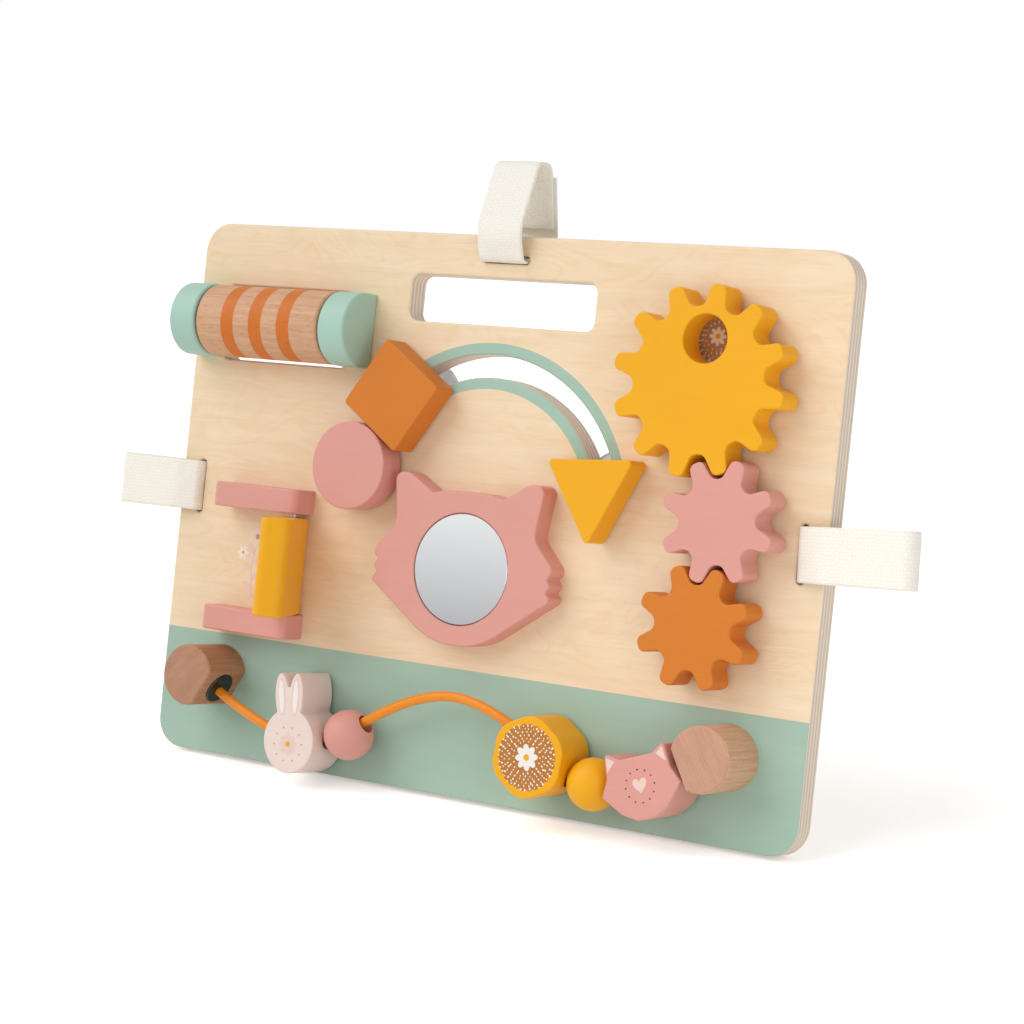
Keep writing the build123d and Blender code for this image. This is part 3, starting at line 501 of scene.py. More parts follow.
cordSize = {
    "diameter": 4.8, "depth": -20.5, "length": 309.4,
    "route": [(-144.1, 37.2), (-109.5, 19.4), (-69.5, 16.4), (-15.0, 49.8),
              (24.0, 50.9), (81.5, 18.2), (114.0, 25.2), (144.6, 36.8)],
    "colour": "F09522", "shade": "E88513",
}


def rubberCord(look):
    # solid silicone-rubber cord: smooth skin with a soft broad highlight
    material, tree, shader = newMaterial("silicone rubber cord", 0.42, Specular_IOR_Level=0.35)
    spot = addNode(tree, "ShaderNodeTexCoord").outputs["Object"]
    skin = addNode(tree, "ShaderNodeTexNoise", None, {"Vector": spot, "Scale": 1 / (2.5 * mm), "Detail": 3.0})
    coat(tree, shader, stain(tree, look["colour"], look["shade"], skin), skin, 0.03 * mm)
    return material


def makeCord(size):
    curve = bpy.data.curves.new("playCord", "CURVE")
    curve.dimensions = "3D"
    curve.bevel_depth = size["diameter"] / 2 * mm
    curve.bevel_resolution = 6
    curve.resolution_u = 24
    curve.render_resolution_u = 24
    curve.use_fill_caps = True
    spline = curve.splines.new("NURBS")
    spline.points.add(len(size["route"]) - 1)
    for point, (x, z) in zip(spline.points, size["route"]):
        point.co = (x * mm, size["depth"] * mm, z * mm, 1)
    spline.order_u = 3
    spline.use_endpoint_u = True
    obj = bpy.data.objects.new("playCord", curve)
    bpy.context.scene.collection.objects.link(obj)
    dress(obj, rubberCord(size))
    x, z = size["route"][0]
    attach(obj, "board_assembly")
    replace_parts(obj, "bead_cord")


makeCord(cordSize)
print("straps and cord made")


def newTree(name, sockets):
    # geometry-nodes tree with a geometry input and output and the named inputs
    tree = bpy.data.node_groups.new(name, "GeometryNodeTree")
    tree.interface.new_socket("Geometry", in_out="OUTPUT", socket_type="NodeSocketGeometry")
    tree.interface.new_socket("Geometry", in_out="INPUT", socket_type="NodeSocketGeometry")
    for socket, kind in sockets.items():
        tree.interface.new_socket(socket, in_out="INPUT", socket_type="NodeSocket" + kind)
    return tree, addNode(tree, "NodeGroupInput").outputs


def closeTree(tree, instances, finish, smooth=False):
    # real geometry with its material, as the tree's result
    real = addNode(tree, "GeometryNodeRealizeInstances", None, (instances,))
    shaded = addNode(tree, "GeometryNodeSetShadeSmooth", None, {"Geometry": real, "Shade Smooth": smooth})
    painted = addNode(tree, "GeometryNodeSetMaterial", None, {"Geometry": shaded, "Material": finish})
    addNode(tree, "NodeGroupOutput", None, (painted,))
    return tree


def ringTree():
    # flat pieces evenly round a circle, each pointing outwards: dots, petals or rays
    tree, given = newTree("ring of flat pieces", {
        "Count": "Int", "Radius": "Float", "Length": "Float", "Width": "Float", "Thickness": "Float",
        "Sides": "Int", "Uneven": "Float", "Drift": "Float", "Seed": "Int", "Ink": "Material"})
    index = addNode(tree, "GeometryNodeInputIndex")
    turns = addNode(tree, "ShaderNodeMath", {"operation": "MULTIPLY"}, (index, 2 * pi))
    angle = addNode(tree, "ShaderNodeMath", {"operation": "DIVIDE"}, (turns, given["Count"]))
    place = []
    for wave, offset in (("COSINE", 11.0), ("SINE", 12.0)):
        seed = addNode(tree, "ShaderNodeMath", {"operation": "ADD"}, (given["Seed"], offset))
        shift = addNode(tree, "FunctionNodeRandomValue", {"data_type": "FLOAT"}, {2: -1.0, 3: 1.0, "Seed": seed})
        drift = addNode(tree, "ShaderNodeMath", {"operation": "MULTIPLY"}, (shift, given["Drift"]))
        reach = addNode(tree, "ShaderNodeMath", {"operation": wave}, (angle,))
        place.append(addNode(tree, "ShaderNodeMath", {"operation": "MULTIPLY_ADD"}, (reach, given["Radius"], drift)))
    spot = addNode(tree, "ShaderNodeCombineXYZ", None, tuple(place))
    spots = addNode(tree, "GeometryNodePoints", None, {"Count": given["Count"], "Position": spot})
    piece = addNode(tree, "GeometryNodeMeshCylinder", {"fill_type": "NGON"}, {
        "Vertices": given["Sides"], "Radius": 0.5, "Depth": 1.0})
    uneven = addNode(tree, "FunctionNodeRandomValue", {"data_type": "FLOAT"}, {
        2: -1.0, 3: 1.0, "Seed": given["Seed"]})
    size = addNode(tree, "ShaderNodeMath", {"operation": "MULTIPLY_ADD"}, (uneven, given["Uneven"], 1.0))
    length = addNode(tree, "ShaderNodeMath", {"operation": "MULTIPLY"}, (size, given["Length"]))
    width = addNode(tree, "ShaderNodeMath", {"operation": "MULTIPLY"}, (size, given["Width"]))
    # neighbours differ a little in height, so that overlapping tops never share a plane
    height = 1.0
    for cycle, rise in ((2.0, 0.1), (3.0, 0.07)):
        beat = addNode(tree, "ShaderNodeMath", {"operation": "MODULO"}, (index, cycle))
        height = addNode(tree, "ShaderNodeMath", {"operation": "MULTIPLY_ADD"}, (beat, rise, height))
    thickness = addNode(tree, "ShaderNodeMath", {"operation": "MULTIPLY"}, (height, given["Thickness"]))
    scale = addNode(tree, "ShaderNodeCombineXYZ", None, (length, width, thickness))
    heading = addNode(tree, "ShaderNodeCombineXYZ", None, {"Z": angle})
    turn = addNode(tree, "FunctionNodeEulerToRotation", None, (heading,))
    placed = addNode(tree, "GeometryNodeInstanceOnPoints", None, {
        "Points": spots, "Instance": piece, "Rotation": turn, "Scale": scale})
    return closeTree(tree, placed, given["Ink"])


def sprigTree():
    # leaves in turn on each side of a stem that follows the mesh's line
    tree, given = newTree("leafy stem", {
        "Leaves": "Int", "Leaf Length": "Float", "Leaf Width": "Float", "Spread": "Float", "Stem": "Float",
        "Thickness": "Float", "Ink": "Material"})
    line = addNode(tree, "GeometryNodeMeshToCurve", None, {"Mesh": given["Geometry"]})
    bar = addNode(tree, "GeometryNodeCurvePrimitiveQuadrilateral", None, {
        "Width": given["Stem"], "Height": given["Thickness"]})
    stem = addNode(tree, "GeometryNodeCurveToMesh", None, {
        "Curve": line, "Profile Curve": bar, "Fill Caps": True})
    spots = addNode(tree, "GeometryNodeResampleCurve", None, {"Curve": line, "Count": given["Leaves"]})
    index = addNode(tree, "GeometryNodeInputIndex")
    odd = addNode(tree, "ShaderNodeMath", {"operation": "MODULO"}, (index, 2.0))
    side = addNode(tree, "ShaderNodeMath", {"operation": "MULTIPLY_ADD"}, (odd, 2.0, -1.0))
    tangent = addNode(tree, "GeometryNodeInputTangent")
    along = addNode(tree, "FunctionNodeAlignRotationToVector", {"axis": "X"}, {"Vector": tangent})
    spread = addNode(tree, "ShaderNodeMath", {"operation": "MULTIPLY"}, (side, given["Spread"]))
    heading = addNode(tree, "ShaderNodeCombineXYZ", None, {"Z": spread})
    swing = addNode(tree, "FunctionNodeEulerToRotation", None, (heading,))
    turn = addNode(tree, "FunctionNodeRotateRotation", {"rotation_space": "LOCAL"}, (along, swing))
    leaf = addNode(tree, "GeometryNodeMeshCylinder", {"fill_type": "NGON"}, {
        "Vertices": 18, "Radius": 0.5, "Depth": 1.0})
    share = addNode(tree, "ShaderNodeMath", {"operation": "MULTIPLY_ADD"}, (side, 0.1, 0.75))
    thickness = addNode(tree, "ShaderNodeMath", {"operation": "MULTIPLY"}, (given["Thickness"], share))
    size = addNode(tree, "ShaderNodeCombineXYZ", None, (given["Leaf Length"], given["Leaf Width"], thickness))
    # the leaf's foot, not its middle, meets the stem
    shifted = addNode(tree, "GeometryNodeTransform", None, {"Geometry": leaf, "Translation": (0.5, 0, 0)})
    placed = addNode(tree, "GeometryNodeInstanceOnPoints", None, {
        "Points": spots, "Instance": shifted, "Rotation": turn, "Scale": size})
    whole = addNode(tree, "GeometryNodeJoinGeometry", None, {0: [stem, placed]})
    return closeTree(tree, whole, given["Ink"])


def screwTree():
    # cross-recess countersunk screws at the mesh's points, heads up, each stopped at its own angle
    tree, given = newTree("countersunk screws", {
        "Head": "Float", "Head Height": "Float", "Shank": "Float", "Length": "Float",
        "Recess": "Float", "Recess Depth": "Float", "Seed": "Int", "Metal": "Material"})
    rim = addNode(tree, "ShaderNodeMath", {"operation": "MULTIPLY"}, (given["Head"], 0.5))
    neck = addNode(tree, "ShaderNodeMath", {"operation": "MULTIPLY"}, (given["Shank"], 0.5))
    cone = addNode(tree, "GeometryNodeMeshCone", {"fill_type": "NGON"}, {
        "Vertices": 40, "Radius Top": rim, "Radius Bottom": neck, "Depth": given["Head Height"]})
    under = addNode(tree, "ShaderNodeMath", {"operation": "MULTIPLY"}, (given["Head Height"], -1.0))
    down = addNode(tree, "ShaderNodeCombineXYZ", None, {"Z": under})
    head = addNode(tree, "GeometryNodeTransform", None, {"Geometry": cone, "Translation": down})
    thin = addNode(tree, "ShaderNodeMath", {"operation": "MULTIPLY"}, (given["Recess"], 0.22))
    deep = addNode(tree, "ShaderNodeMath", {"operation": "MULTIPLY"}, (given["Recess Depth"], 2.0))
    arms = []
    for wide, tall in ((given["Recess"], thin), (thin, given["Recess"])):
        size = addNode(tree, "ShaderNodeCombineXYZ", None, (wide, tall, deep))
        arms.append(addNode(tree, "GeometryNodeMeshCube", None, {"Size": size}))
    cut = addNode(tree, "GeometryNodeMeshBoolean", {"operation": "DIFFERENCE"}, {"Mesh 1": head, "Mesh 2": arms})
    run = addNode(tree, "ShaderNodeMath", {"operation": "SUBTRACT"}, (given["Length"], given["Head Height"]))
    # a hair thinner than the neck, so that their walls never share a surface
    thread = addNode(tree, "ShaderNodeMath", {"operation": "MULTIPLY"}, (given["Shank"], 0.49))
    rod = addNode(tree, "GeometryNodeMeshCylinder", {"fill_type": "NGON"}, {
        "Vertices": 24, "Radius": thread, "Depth": run})
    middle = addNode(tree, "ShaderNodeMath", {"operation": "MULTIPLY_ADD"}, (run, -0.5, under))
    low = addNode(tree, "ShaderNodeCombineXYZ", None, {"Z": middle})
    shank = addNode(tree, "GeometryNodeTransform", None, {"Geometry": rod, "Translation": low})
    screw = addNode(tree, "GeometryNodeJoinGeometry", None, {0: [cut, shank]})
    stopped = addNode(tree, "FunctionNodeRandomValue", {"data_type": "FLOAT"}, {
        2: 0.0, 3: pi / 2, "Seed": given["Seed"]})
    heading = addNode(tree, "ShaderNodeCombineXYZ", None, {"Z": stopped})
    turn = addNode(tree, "FunctionNodeEulerToRotation", None, (heading,))
    placed = addNode(tree, "GeometryNodeInstanceOnPoints", None, {
        "Points": given["Geometry"], "Instance": screw, "Rotation": turn})
    return closeTree(tree, placed, given["Metal"])


def stitchTree():
    # sewing stitches laid end to end round a rectangle
    tree, given = newTree("row of stitches", {
        "Across": "Float", "Along": "Float", "Pitch": "Float", "Stitch": "Float", "Thread": "Float",
        "Yarn": "Material"})
    seam = addNode(tree, "GeometryNodeCurvePrimitiveQuadrilateral", None, {
        "Width": given["Across"], "Height": given["Along"]})
    spots = addNode(tree, "GeometryNodeResampleCurve", {"mode": "LENGTH"}, {"Curve": seam, "Length": given["Pitch"]})
    tangent = addNode(tree, "GeometryNodeInputTangent")
    turn = addNode(tree, "FunctionNodeAlignRotationToVector", {"axis": "X"}, {"Vector": tangent})
    bead = addNode(tree, "GeometryNodeMeshUVSphere", None, {"Segments": 8, "Rings": 6, "Radius": 0.5})
    size = addNode(tree, "ShaderNodeCombineXYZ", None, (given["Stitch"], given["Thread"], given["Thread"]))
    placed = addNode(tree, "GeometryNodeInstanceOnPoints", None, {
        "Points": spots, "Instance": bead, "Rotation": turn, "Scale": size})
    return closeTree(tree, placed, given["Yarn"], smooth=True)


def pointMesh(name, spots, joined=False):
    # bare points, or a line through them
    mesh = bpy.data.meshes.new(name)
    lines = [(index, index + 1) for index in range(len(spots) - 1)] if joined else []
    mesh.from_pydata([(x * mm, y * mm, 0) for x, y in spots], lines, [])
    return mesh


def growMesh(name, tree, values, mesh=None):
    # what the tree makes of the mesh, as a plain mesh
    obj = meshObject(name, mesh or bpy.data.meshes.new(name))
    modifier = obj.modifiers.new("shape", "NODES")
    modifier.node_group = tree
    for item in tree.interface.items_tree:
        if item.item_type == "SOCKET" and item.in_out == "INPUT" and item.name in values:
            modifier[item.identifier] = values[item.name]
    scene = bpy.context.evaluated_depsgraph_get()
    result = bpy.data.meshes.new_from_object(obj.evaluated_get(scene), depsgraph=scene)
    obj.modifiers.remove(modifier)
    bpy.data.objects.remove(obj)
    return result


def addPiece(name, meshes, body):
    # one object of several meshes, each keeping its own material
    work = bmesh.new()
    whole = bpy.data.meshes.new(name)
    for mesh in meshes:
        first = len(whole.materials)
        for material in mesh.materials:
            whole.materials.append(material)
        for polygon in mesh.polygons:
            polygon.material_index += first
        work.from_mesh(mesh)
    work.to_mesh(whole)
    work.free()
    obj = meshObject(name, whole)
    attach(obj, body)
    return obj


def facePlace(x, z, depth, turn=0):
    # from the flat XY plane to a face that looks at the viewer
    c, s = cos(radians(turn)), sin(radians(turn))
    return Matrix(((c, -s, 0, x * mm), (0, 0, -1, depth * mm), (s, c, 0, z * mm), (0, 0, 0, 1)))


def backPlace(depth):
    # from the flat XY plane, mirrored left to right, to a face that looks away from the viewer
    return Matrix(((-1, 0, 0, 0), (0, 0, 1, depth * mm), (0, 1, 0, 0), (0, 0, 0, 1)))


ringOf, sprigOf, screwsOf, stitchesOf = ringTree(), sprigTree(), screwTree(), stitchTree()

backScrews = {
    "spots": [(-30, 146), (30, 146), (0, 79.3),
              (-177.05, 213.8), (-177.05, 233.8), (-81.65, 213.8), (-81.65, 233.8),
              (-141.6, 71.4), (-118.6, 71.4), (-141.6, 134.8), (-118.6, 134.8), (-148.6, 41.5), (148.6, 41.5)],
    "depth": 6.3, "Head": 7.5, "Head Height": 2.0, "Shank": 3.5, "Length": 20.8,
    "Recess": 4.2, "Recess Depth": 1.3, "Seed": 4,
}
studScrews = {
    "depth": 10.7, "Head": 8.0, "Head Height": 2.0, "Shank": 4.0, "Length": 25.9,
    "Recess": 4.6, "Recess Depth": 1.3,
    "disc": (-70.0, 156.1, 3), "square": (-48.4, 192.6, 8), "triangle": (69.8, 157.0, 5),
}


def driveScrews(name, node, body, spots, look, seed):
    values = {socket: look[socket] * mm for socket in
              ("Head", "Head Height", "Shank", "Length", "Recess", "Recess Depth")}
    values.update({"Seed": seed, "Metal": zinc})
    mesh = growMesh(name, screwsOf, values, pointMesh(name, [(-x, z) for x, z in spots]))
    mesh.transform(backPlace(look["depth"]))
    obj = addPiece(name, [mesh], body)
    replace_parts(obj, node)


driveScrews("backScrews", "back_screws", "board_assembly", backScrews["spots"], backScrews, backScrews["Seed"])
for shapeName in ("disc", "square", "triangle"):
    screwX, screwZ, screwSeed = studScrews[shapeName]
    driveScrews(shapeName + "StudScrew", shapeName + "_screw", shapeName + "_slider", [(screwX, screwZ)],
                studScrews, screwSeed)
print("screws driven")

seamLook = {"inset": 1.8, "Pitch": 3.1, "Stitch": 2.5, "Thread": 0.5, "patch": 23, "lift": 0.85,
            "yarn": "FBF8F1", "yarnDark": "E9E2D3"}


def sewingThread(look):
    # polyester sewing thread: bright, slightly shiny, twisted
    material, tree, shader = newMaterial("polyester sewing thread", 0.55, Specular_IOR_Level=0.4)
    spot = addNode(tree, "ShaderNodeTexCoord").outputs["Object"]
    twist = addNode(tree, "ShaderNodeTexNoise", None, {"Vector": spot, "Scale": 1 / (0.3 * mm), "Detail": 1.0})
    coat(tree, shader, stain(tree, look["yarn"], look["yarnDark"], twist), twist, 0.04 * mm)
    return material


def sewLap(name, place, look):
    # the seam that holds each closure patch: one row shows behind the loop, one inside it
    foldBack, along, inward, length = lapRun(place)
    lapLength = length - strapSize["lapStart"]
    values = {"Across": (lapLength - 2 * look["inset"]) * mm, "Along": (look["patch"] - 2 * look["inset"]) * mm,
              "Pitch": look["Pitch"] * mm, "Stitch": look["Stitch"] * mm, "Thread": look["Thread"] * mm,
              "Yarn": thread}
    origin, out, side = Vector(place["origin"]), Vector(place["out"]), Vector(place["side"])
    middle = foldBack + along * (strapSize["lapStart"] + lapLength / 2)
    rows = []
    for offset in (-look["lift"], strapSize["lap"] + look["lift"]):
        mesh = growMesh(name, stitchesOf, values)
        spot = middle + inward * offset
        centre = origin + out * spot.x + Vector((0, 1, 0)) * spot.y
        heading = out * along.x + Vector((0, 1, 0)) * along.y
        turn = Matrix((heading, side, heading.cross(side))).transposed()
        mesh.transform(Matrix.Translation(centre * mm) @ turn.to_4x4())
        rows.append(mesh)
    addPiece(name, rows, "board_assembly")


thread = sewingThread(seamLook)
for strapName, strapPlace in strapPlaces.items():
    sewLap(strapName + "Seam", strapPlace, seamLook)
print("laps sewn")

inkColours = {"white": "F8F2EC", "blush": "F2D3C9", "rose": "DD9C92", "umber": "4A3027",
              "sun": "F0B136", "cream": "F7E3D2", "ochre": "BC7B34", "tan": "C0946C"}
inkStep = 0.1  # how much prouder each layer of ink stands than the one below


def printInk(name, colour):
    # pad-printed ink: flat and matt, a hair thick, a little uneven where it took to the wood
    material, tree, shader = newMaterial(name + " pad-printed ink", 0.6, Specular_IOR_Level=0.25)
    spot = addNode(tree, "ShaderNodeTexCoord").outputs["Object"]
    patchy = addNode(tree, "ShaderNodeTexNoise", None, {"Vector": spot, "Scale": 1 / (1.6 * mm), "Detail": 3.0})
    darker = "%02X%02X%02X" % tuple(round(int(colour[step:step + 2], 16) * 0.94) for step in (0, 2, 4))
    feed(tree, shader, {"Base Color": stain(tree, colour, darker, patchy)})
    return material


inks = {name: printInk(name, colour) for name, colour in inkColours.items()}


def ringPrint(place, ink, count, radius, length, width, layer=1, spot=(0, 0), sides=16,
              uneven=0.0, drift=0.0, seed=1):
    # `count` flat dots or rays round a circle; one of them at radius 0 is a disc
    mesh = growMesh("ring", ringOf, {
        "Count": count, "Radius": radius * mm, "Length": length * mm, "Width": width * mm,
        "Thickness": inkStep * (layer + 1) * mm, "Sides": sides, "Uneven": uneven, "Drift": drift * mm,
        "Seed": seed, "Ink": inks[ink]})
    mesh.transform(place @ Matrix.Translation((spot[0] * mm, spot[1] * mm, 0)))
    return mesh


def cutPrint(place, ink, outline):
    # a flat print, one layer thick, of any outline that runs anticlockwise
    count = len(outline)
    corners = [(x * mm, y * mm, height * mm) for height in (-inkStep, inkStep) for x, y in outline]
    faces = [list(reversed(range(count))), list(range(count, 2 * count))]
    for index in range(count):
        after = (index + 1) % count
        faces.append([index, after, after + count, index + count])
    mesh = bpy.data.meshes.new("cut")
    mesh.from_pydata(corners, [], faces)
    mesh.materials.append(inks[ink])
    mesh.transform(place)
    return mesh


def daisy(place, spot, size, petals, heart, layer, count, seed=1):
    # petals round a button
    button = size * 0.26
    return [
        ringPrint(place, petals, count, size * 0.29, size * 0.46, size * 0.27, layer, spot,
                  sides=18, uneven=0.06, seed=seed),
        ringPrint(place, heart, 1, 0, button, button, layer + 1.5, spot, sides=20),
    ]


rabbitPrint = {
    "x": -81.8, "z": 16.9, "turn": 6, "face": -33.0,
    "ear": (4.3, 21.9), "splay": 3.5, "linings": (("blush", 4.4, 18.5), ("white", 3.1, 16.6)),
    "cheek": (0, -1.5), "daisy": 10.5, "dots": 10, "dotRing": 8.4, "dot": 0.9,
}


def printRabbit(look):
    # pale ear linings, and a small pink daisy with a few dots on the bare cheek
    place = facePlace(look["x"], look["z"], look["face"], look["turn"])
    across, up = look["ear"]
    prints = []
    for side in (-1, 1):
        lean = Matrix.Rotation(radians(-side * look["splay"]), 4, "Z")
        ear = place @ Matrix.Translation((side * across * mm, up * mm, 0)) @ lean
        for layer, (ink, width, length) in enumerate(look["linings"], 1):
            prints.append(ringPrint(ear, ink, 1, 0, width, length, layer, sides=28))
    prints += daisy(place, look["cheek"], look["daisy"], "blush", "sun", 1, 8)
    prints.append(ringPrint(place, "rose", look["dots"], look["dotRing"], look["dot"], look["dot"],
                            spot=look["cheek"], sides=8, uneven=0.15, drift=0.2, seed=6))
    addPiece("rabbitPrint", prints, "rabbit_bead_body")


printRabbit(rabbitPrint)

flowerPrint = {
    "x": 57.4, "z": 29.2, "turn": -36, "face": -33.0, "daisy": 12,
    "disc": 15.6, "scallops": 26, "scallop": (3.2, 3.4), "speck": (1.05, 0.72),
    # radius and number of the specks in each ring
    "rings": ((7.6, 18), (9.1, 22), (10.6, 26), (12.1, 30), (13.6, 34), (15.0, 36)),
}


def printFlower(look):
    # scalloped brown disc, speckled with white, and a white daisy at its heart
    place = facePlace(look["x"], look["z"], look["face"], look["turn"])
    across = look["disc"] * 1.9
    prints = [
        ringPrint(place, "ochre", 1, 0, across, across, sides=48),
        ringPrint(place, "ochre", look["scallops"], look["disc"] - 1.4, *look["scallop"], 0.4, sides=12),
    ]
    for step, (radius, count) in enumerate(look["rings"]):
        prints.append(ringPrint(place, "white", count, radius, *look["speck"], layer=2,
                                sides=8, uneven=0.3, drift=0.4, seed=20 + step))
    prints += daisy(place, (0, 0), look["daisy"], "white", "sun", 2.6, 8, 3)
    addPiece("flowerPrint", prints, "flower_bead_body")


printFlower(flowerPrint)

catPrint = {
    "x": 118.9, "z": 26, "turn": 19, "face": -33.0,
    "ear": [(15.0, 14.9), (10.9, 12.3), (15.7, 7.9)],
    # right half of the heart, from its foot to its cleft
    "heart": [(0, -4.2), (2.9, -1.2), (3.7, 0.6), (3.4, 2.1), (2.1, 2.8), (0.8, 2.3), (0, 1.2)],
    "cheek": (0, -0.8), "dots": 12, "dotRing": 7.6, "dot": 0.8,
}


def printCat(look):
    # pale ear linings, a pale heart, and a ring of small dark dots
    place = facePlace(look["x"], look["z"], look["face"], look["turn"])
    otherEar = [(-x, y) for x, y in reversed(look["ear"])]
    heart = look["heart"] + [(-x, y) for x, y in reversed(look["heart"][1:-1])]
    prints = [cutPrint(place, "blush", outline) for outline in (look["ear"], otherEar, heart)]
    prints.append(ringPrint(place, "umber", look["dots"], look["dotRing"], look["dot"], look["dot"],
                            spot=look["cheek"], sides=8, uneven=0.1, drift=0.1, seed=9))
    addPiece("catPrint", prints, "cat_bead_body")


printCat(catPrint)

boardPrint = {
    "face": -6.5, "sprig": (-136, 100), "stem": [(1, -17), (0.3, -10), (-0.6, -3), (0.2, 4), (1.6, 10)],
    "leaves": 7, "leaf": (6.2, 2.6), "leafTurn": 52, "stemWidth": 0.7,
    "bloom": (2.0, 14.5), "bloomSize": 11, "bud": (-6.5, 5.5), "budSize": 7, "pollen": (7.0, 1.5),
    "peep": (121, 233), "sunburst": 21, "fringe": 22, "petal": (4.0, 2.0), "ray": (1.3, 0.6),
    # radius and number of the short rays round the peep hole's flower
    "rays": ((9.9, 26), (8.1, 20), (6.4, 16)),
}


def printBoard(look):
    # pale flowering sprig behind the flap, and a brown sunburst behind the gear's peep hole
    place = facePlace(*look["sprig"], look["face"])
    leafLength, leafWidth = look["leaf"]
    stem = growMesh("sprig", sprigOf, {
        "Leaves": look["leaves"], "Leaf Length": leafLength * mm, "Leaf Width": leafWidth * mm,
        "Spread": radians(look["leafTurn"]), "Stem": look["stemWidth"] * mm, "Thickness": 0.2 * mm,
        "Ink": inks["blush"]}, pointMesh("sprigLine", look["stem"], joined=True))
    stem.transform(place)
    prints = [stem]
    prints += daisy(place, look["bloom"], look["bloomSize"], "cream", "rose", 1, 7, 5)
    prints += daisy(place, look["bud"], look["budSize"], "white", "sun", 1, 6, 7)
    prints.append(ringPrint(place, "rose", 6, 3.0, 1.1, 1.1, spot=look["pollen"],
                            sides=8, uneven=0.2, drift=0.6, seed=8))
    peep = facePlace(*look["peep"], look["face"])
    ground = look["sunburst"]
    prints.append(ringPrint(peep, "tan", 1, 0, ground, ground, sides=40))
    prints.append(ringPrint(peep, "tan", look["fringe"], ground / 2 + 0.1, 3.6, 2.2, layer=0.4, sides=10))
    for seed, (radius, count) in enumerate(look["rays"], 12):
        prints.append(ringPrint(peep, "cream", count, radius, *look["ray"], layer=2,
                                sides=8, uneven=0.3, drift=0.3, seed=seed))
    prints.append(ringPrint(peep, "white", 8, 2.6, *look["petal"], layer=2.6, uneven=0.05))
    prints.append(ringPrint(peep, "sun", 1, 0, 2.6, 2.6, layer=3.8, sides=20))
    addPiece("boardPrint", prints, "board_assembly")


printBoard(boardPrint)
print("prints made")

catFrameShape = {
    # right half of the outline, from the middle of the brow to the middle of the chin
    "half": [(0, 149.4), (12.5, 149.2), (20.5, 147.3), (35.0, 156.1), (43.7, 155.8), (40.0, 130.0), (51.4, 117.8),
             (51.3, 114.0), (49.2, 112.0), (51.6, 108.7), (49.2, 105.4), (51.5, 103.2), (51.5, 101.0),
             (13.8, 74.6), (0, 74.6)],
    "bends": [40, 2.0, 9, 4.2, 8, 2.5, 0.8, 1.0, 1.0, 1.0, 0.8, 2.2, 38],
    "step": 1.0, "nearest": 0.05, "back": -6.5, "front": -18.5, "edge": 0.9, "rounding": 4,
    "seatCentre": 111.7, "seatRadius": 27.4, "seatDepth": 2.5, "seatEdge": 0.3, "seatSides": 96,
}


def carveCatFrame(look):
    # plate sawn to the cat's head, its front edge rounded over, with the round seat of the mirror
    half = roundedLine(look["half"], look["bends"], look["step"])
    outline = [half[0]]
    for point in half[1:] + [Vector((-point.x, point.y)) for point in reversed(half[1:-1])]:
        if (point - outline[-1]).length > look["nearest"]:
            outline.append(point)
    work = bmesh.new()

    def ring(points, depth):
        return [work.verts.new((x * mm, depth * mm, z * mm)) for x, z in points]

    def wall(near, far):
        for index in range(len(near)):
            after = (index + 1) % len(near)
            work.faces.new((near[index], near[after], far[after], far[index])).smooth = True

    def inset(amount):
        points = []
        for index, point in enumerate(outline):
            heading = (outline[(index + 1) % len(outline)] - outline[index - 1]).normalized()
            points.append((point.x + heading.y * amount, point.y - heading.x * amount))
        return points

    def seat(radius):
        turns = [2 * pi * index / look["seatSides"] for index in range(look["seatSides"])]
        return [(radius * cos(turn), look["seatCentre"] + radius * sin(turn)) for turn in turns]

    rings = [ring(inset(0), look["back"])]
    for index in range(look["rounding"] + 1):
        turn = pi / 2 * index / look["rounding"]
        rings.append(ring(inset(look["edge"] * (1 - cos(turn))), look["front"] + look["edge"] * (1 - sin(turn))))
        wall(rings[-2], rings[-1])
    radius, lip = look["seatRadius"], look["seatEdge"]
    hole = [ring(seat(radius + lip), look["front"]), ring(seat(radius), look["front"] + lip),
            ring(seat(radius), look["front"] + look["seatDepth"])]
    wall(hole[0], hole[1])
    wall(hole[1], hole[2])
    work.faces.new(rings[0])
    work.faces.new(hole[2])
    rims = []
    for loop in (rings[-1], hole[0]):
        rims += [work.edges.get((loop[index - 1], loop[index])) for index in range(len(loop))]
    bmesh.ops.triangle_fill(work, use_beauty=True, edges=rims)
    for loop in (rings[0], hole[0], hole[1], hole[2]):
        for index in range(len(loop)):
            work.edges.get((loop[index - 1], loop[index])).smooth = False
    bmesh.ops.recalc_face_normals(work, faces=work.faces)
    mesh = bpy.data.meshes.new("catFrame")
    work.to_mesh(mesh)
    work.free()
    mesh.materials.append(paints["pink"])
    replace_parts(addPiece("catFrame", [mesh], "board_assembly"), "cat_frame")


carveCatFrame(catFrameShape)
print("cat frame made")

finishes = {
    "board": birchPly(boardLook), "mirror_disc": mirror,
    "roller_block_left": paints["mint"], "roller_block_right": paints["mint"],
    "roller": beechRoller(rollerLook), "roller_pin": steel,
    "flap_bar_top": paints["pink"], "flap_bar_bottom": paints["pink"],
    "flap_door": paints["yellow"], "flap_pin": steel,
    "disc_shape": paints["pink"], "square_shape": paints["orange"], "triangle_shape": paints["yellow"],
    "gear_large": paints["yellow"], "gear_middle": paints["pink"], "gear_lower": paints["orange"],
    "gear_washers": paleNylon,
    "rabbit_bead": paints["blush"], "pink_ball": paints["pink"], "flower_bead": paints["yellow"],
    "yellow_ball": paints["yellow"], "cat_bead": paints["pink"],
    "log_left": logWood("oiled brown beech", leftLog), "log_right": logWood("oiled red beech", rightLog),
    "ferrule_left": blackNylon, "ferrule_right": blackNylon,
    "closure_hook_patches": hookTape, "closure_loop_patches": hookTape,
}
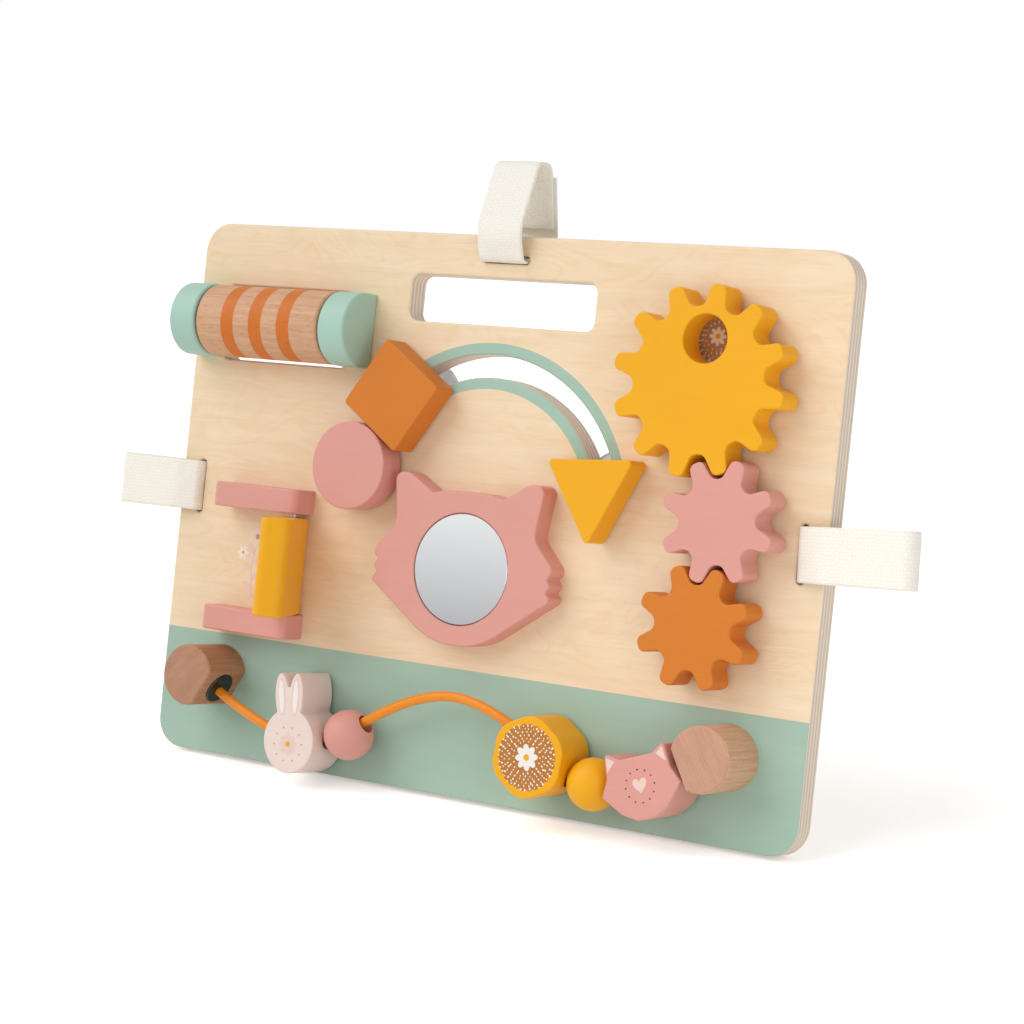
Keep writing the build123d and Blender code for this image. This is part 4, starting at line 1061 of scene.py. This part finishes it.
for gearName in ("large", "middle", "lower"):
    finishes[f"gear_{gearName}_insert"] = brass
    finishes[f"gear_{gearName}_bolt"] = zinc
for shapeName in ("disc", "square", "triangle"):
    finishes[f"{shapeName}_sleeve"] = frostedNylon
    finishes[f"{shapeName}_back_disc"] = frostedNylon
for nodeName, finish in finishes.items():
    dress(nodes[nodeName], finish)
print("finished nodes:", len(finishes))

studio = {
    "lean": 10.9, "foot": 6.5, "size": 6.0,  # degrees, mm behind the middle of the board's foot, metres
    "floor": "FFFFFF", "floorLift": 0.38,
    "world": 0.51, "key": 1.45, "keyAngle": 55, "keyFrom": (-0.75, -1.0, 0.95),
    "fill": 0.85, "fillSize": 0.35, "fillAt": (0.62, -0.42, 0.06), "fillTo": (0.14, 0, 0.08),
}


def makeFloor(look):
    slope = tan(radians(look["lean"]))
    half = look["size"] / 2
    corners = [(-half, -half), (half, -half), (half, half), (-half, half)]
    mesh = bpy.data.meshes.new("floor")
    mesh.from_pydata([(x, y, slope * (y - look["foot"] * mm)) for x, y in corners], [], [(0, 1, 2, 3)])
    obj = meshObject("floor", mesh)
    # painted paper sweep: the camera sees it a little brighter, so only the shadow shows
    material = bpy.data.materials.new("white paper sweep")
    material.use_nodes = True
    tree = material.node_tree
    tree.nodes.clear()
    paper = addNode(tree, "ShaderNodeBsdfDiffuse", None, {"Color": hexColour(look["floor"])})
    rays = addNode(tree, "ShaderNodeLightPath").outputs
    seen = addNode(tree, "ShaderNodeMath", {"operation": "MAXIMUM"}, (rays["Is Camera Ray"], rays["Is Glossy Ray"]))
    strength = addNode(tree, "ShaderNodeMath", {"operation": "MULTIPLY"}, (seen, look["floorLift"]))
    lift = addNode(tree, "ShaderNodeEmission", None, {"Color": (1, 1, 1, 1), "Strength": strength})
    both = addNode(tree, "ShaderNodeAddShader", None, (paper, lift))
    addNode(tree, "ShaderNodeOutputMaterial", None, {"Surface": both})
    dress(obj, material)


def makeLight(look):
    world = bpy.data.worlds.new("studio")
    bpy.context.scene.world = world
    world.use_nodes = True
    sky = world.node_tree
    sky.nodes.clear()
    # seen directly, in a mirror or through frosted plastic, the world is full white
    rays = addNode(sky, "ShaderNodeLightPath").outputs
    seen = addNode(sky, "ShaderNodeMath", {"operation": "MAXIMUM"}, (rays["Is Camera Ray"], rays["Is Glossy Ray"]))
    seen = addNode(sky, "ShaderNodeMath", {"operation": "MAXIMUM"}, (seen, rays["Is Transmission Ray"]))
    level = addNode(sky, "ShaderNodeMapRange", None, {"Value": seen, "To Min": look["world"]})
    glow = addNode(sky, "ShaderNodeBackground", None, {"Color": (1, 1, 1, 1), "Strength": level})
    addNode(sky, "ShaderNodeOutputWorld", None, {"Surface": glow})
    lamp = bpy.data.lights.new("softbox", "SUN")
    lamp.energy = look["key"]
    lamp.angle = radians(look["keyAngle"])
    key = bpy.data.objects.new("softbox", lamp)
    key.rotation_euler = Vector(look["keyFrom"]).to_track_quat("Z", "Y").to_euler()
    bpy.context.scene.collection.objects.link(key)
    # a small panel on the right opens the shadows on that side
    panel = bpy.data.lights.new("sidePanel", "AREA")
    panel.energy = look["fill"]
    panel.size = look["fillSize"]
    fill = bpy.data.objects.new("sidePanel", panel)
    fill.location = look["fillAt"]
    fill.rotation_euler = (Vector(look["fillAt"]) - Vector(look["fillTo"])).to_track_quat("Z", "Y").to_euler()
    bpy.context.scene.collection.objects.link(fill)
    bpy.context.scene.view_settings.view_transform = "Standard"


makeFloor(studio)
makeLight(studio)
print("studio ready")
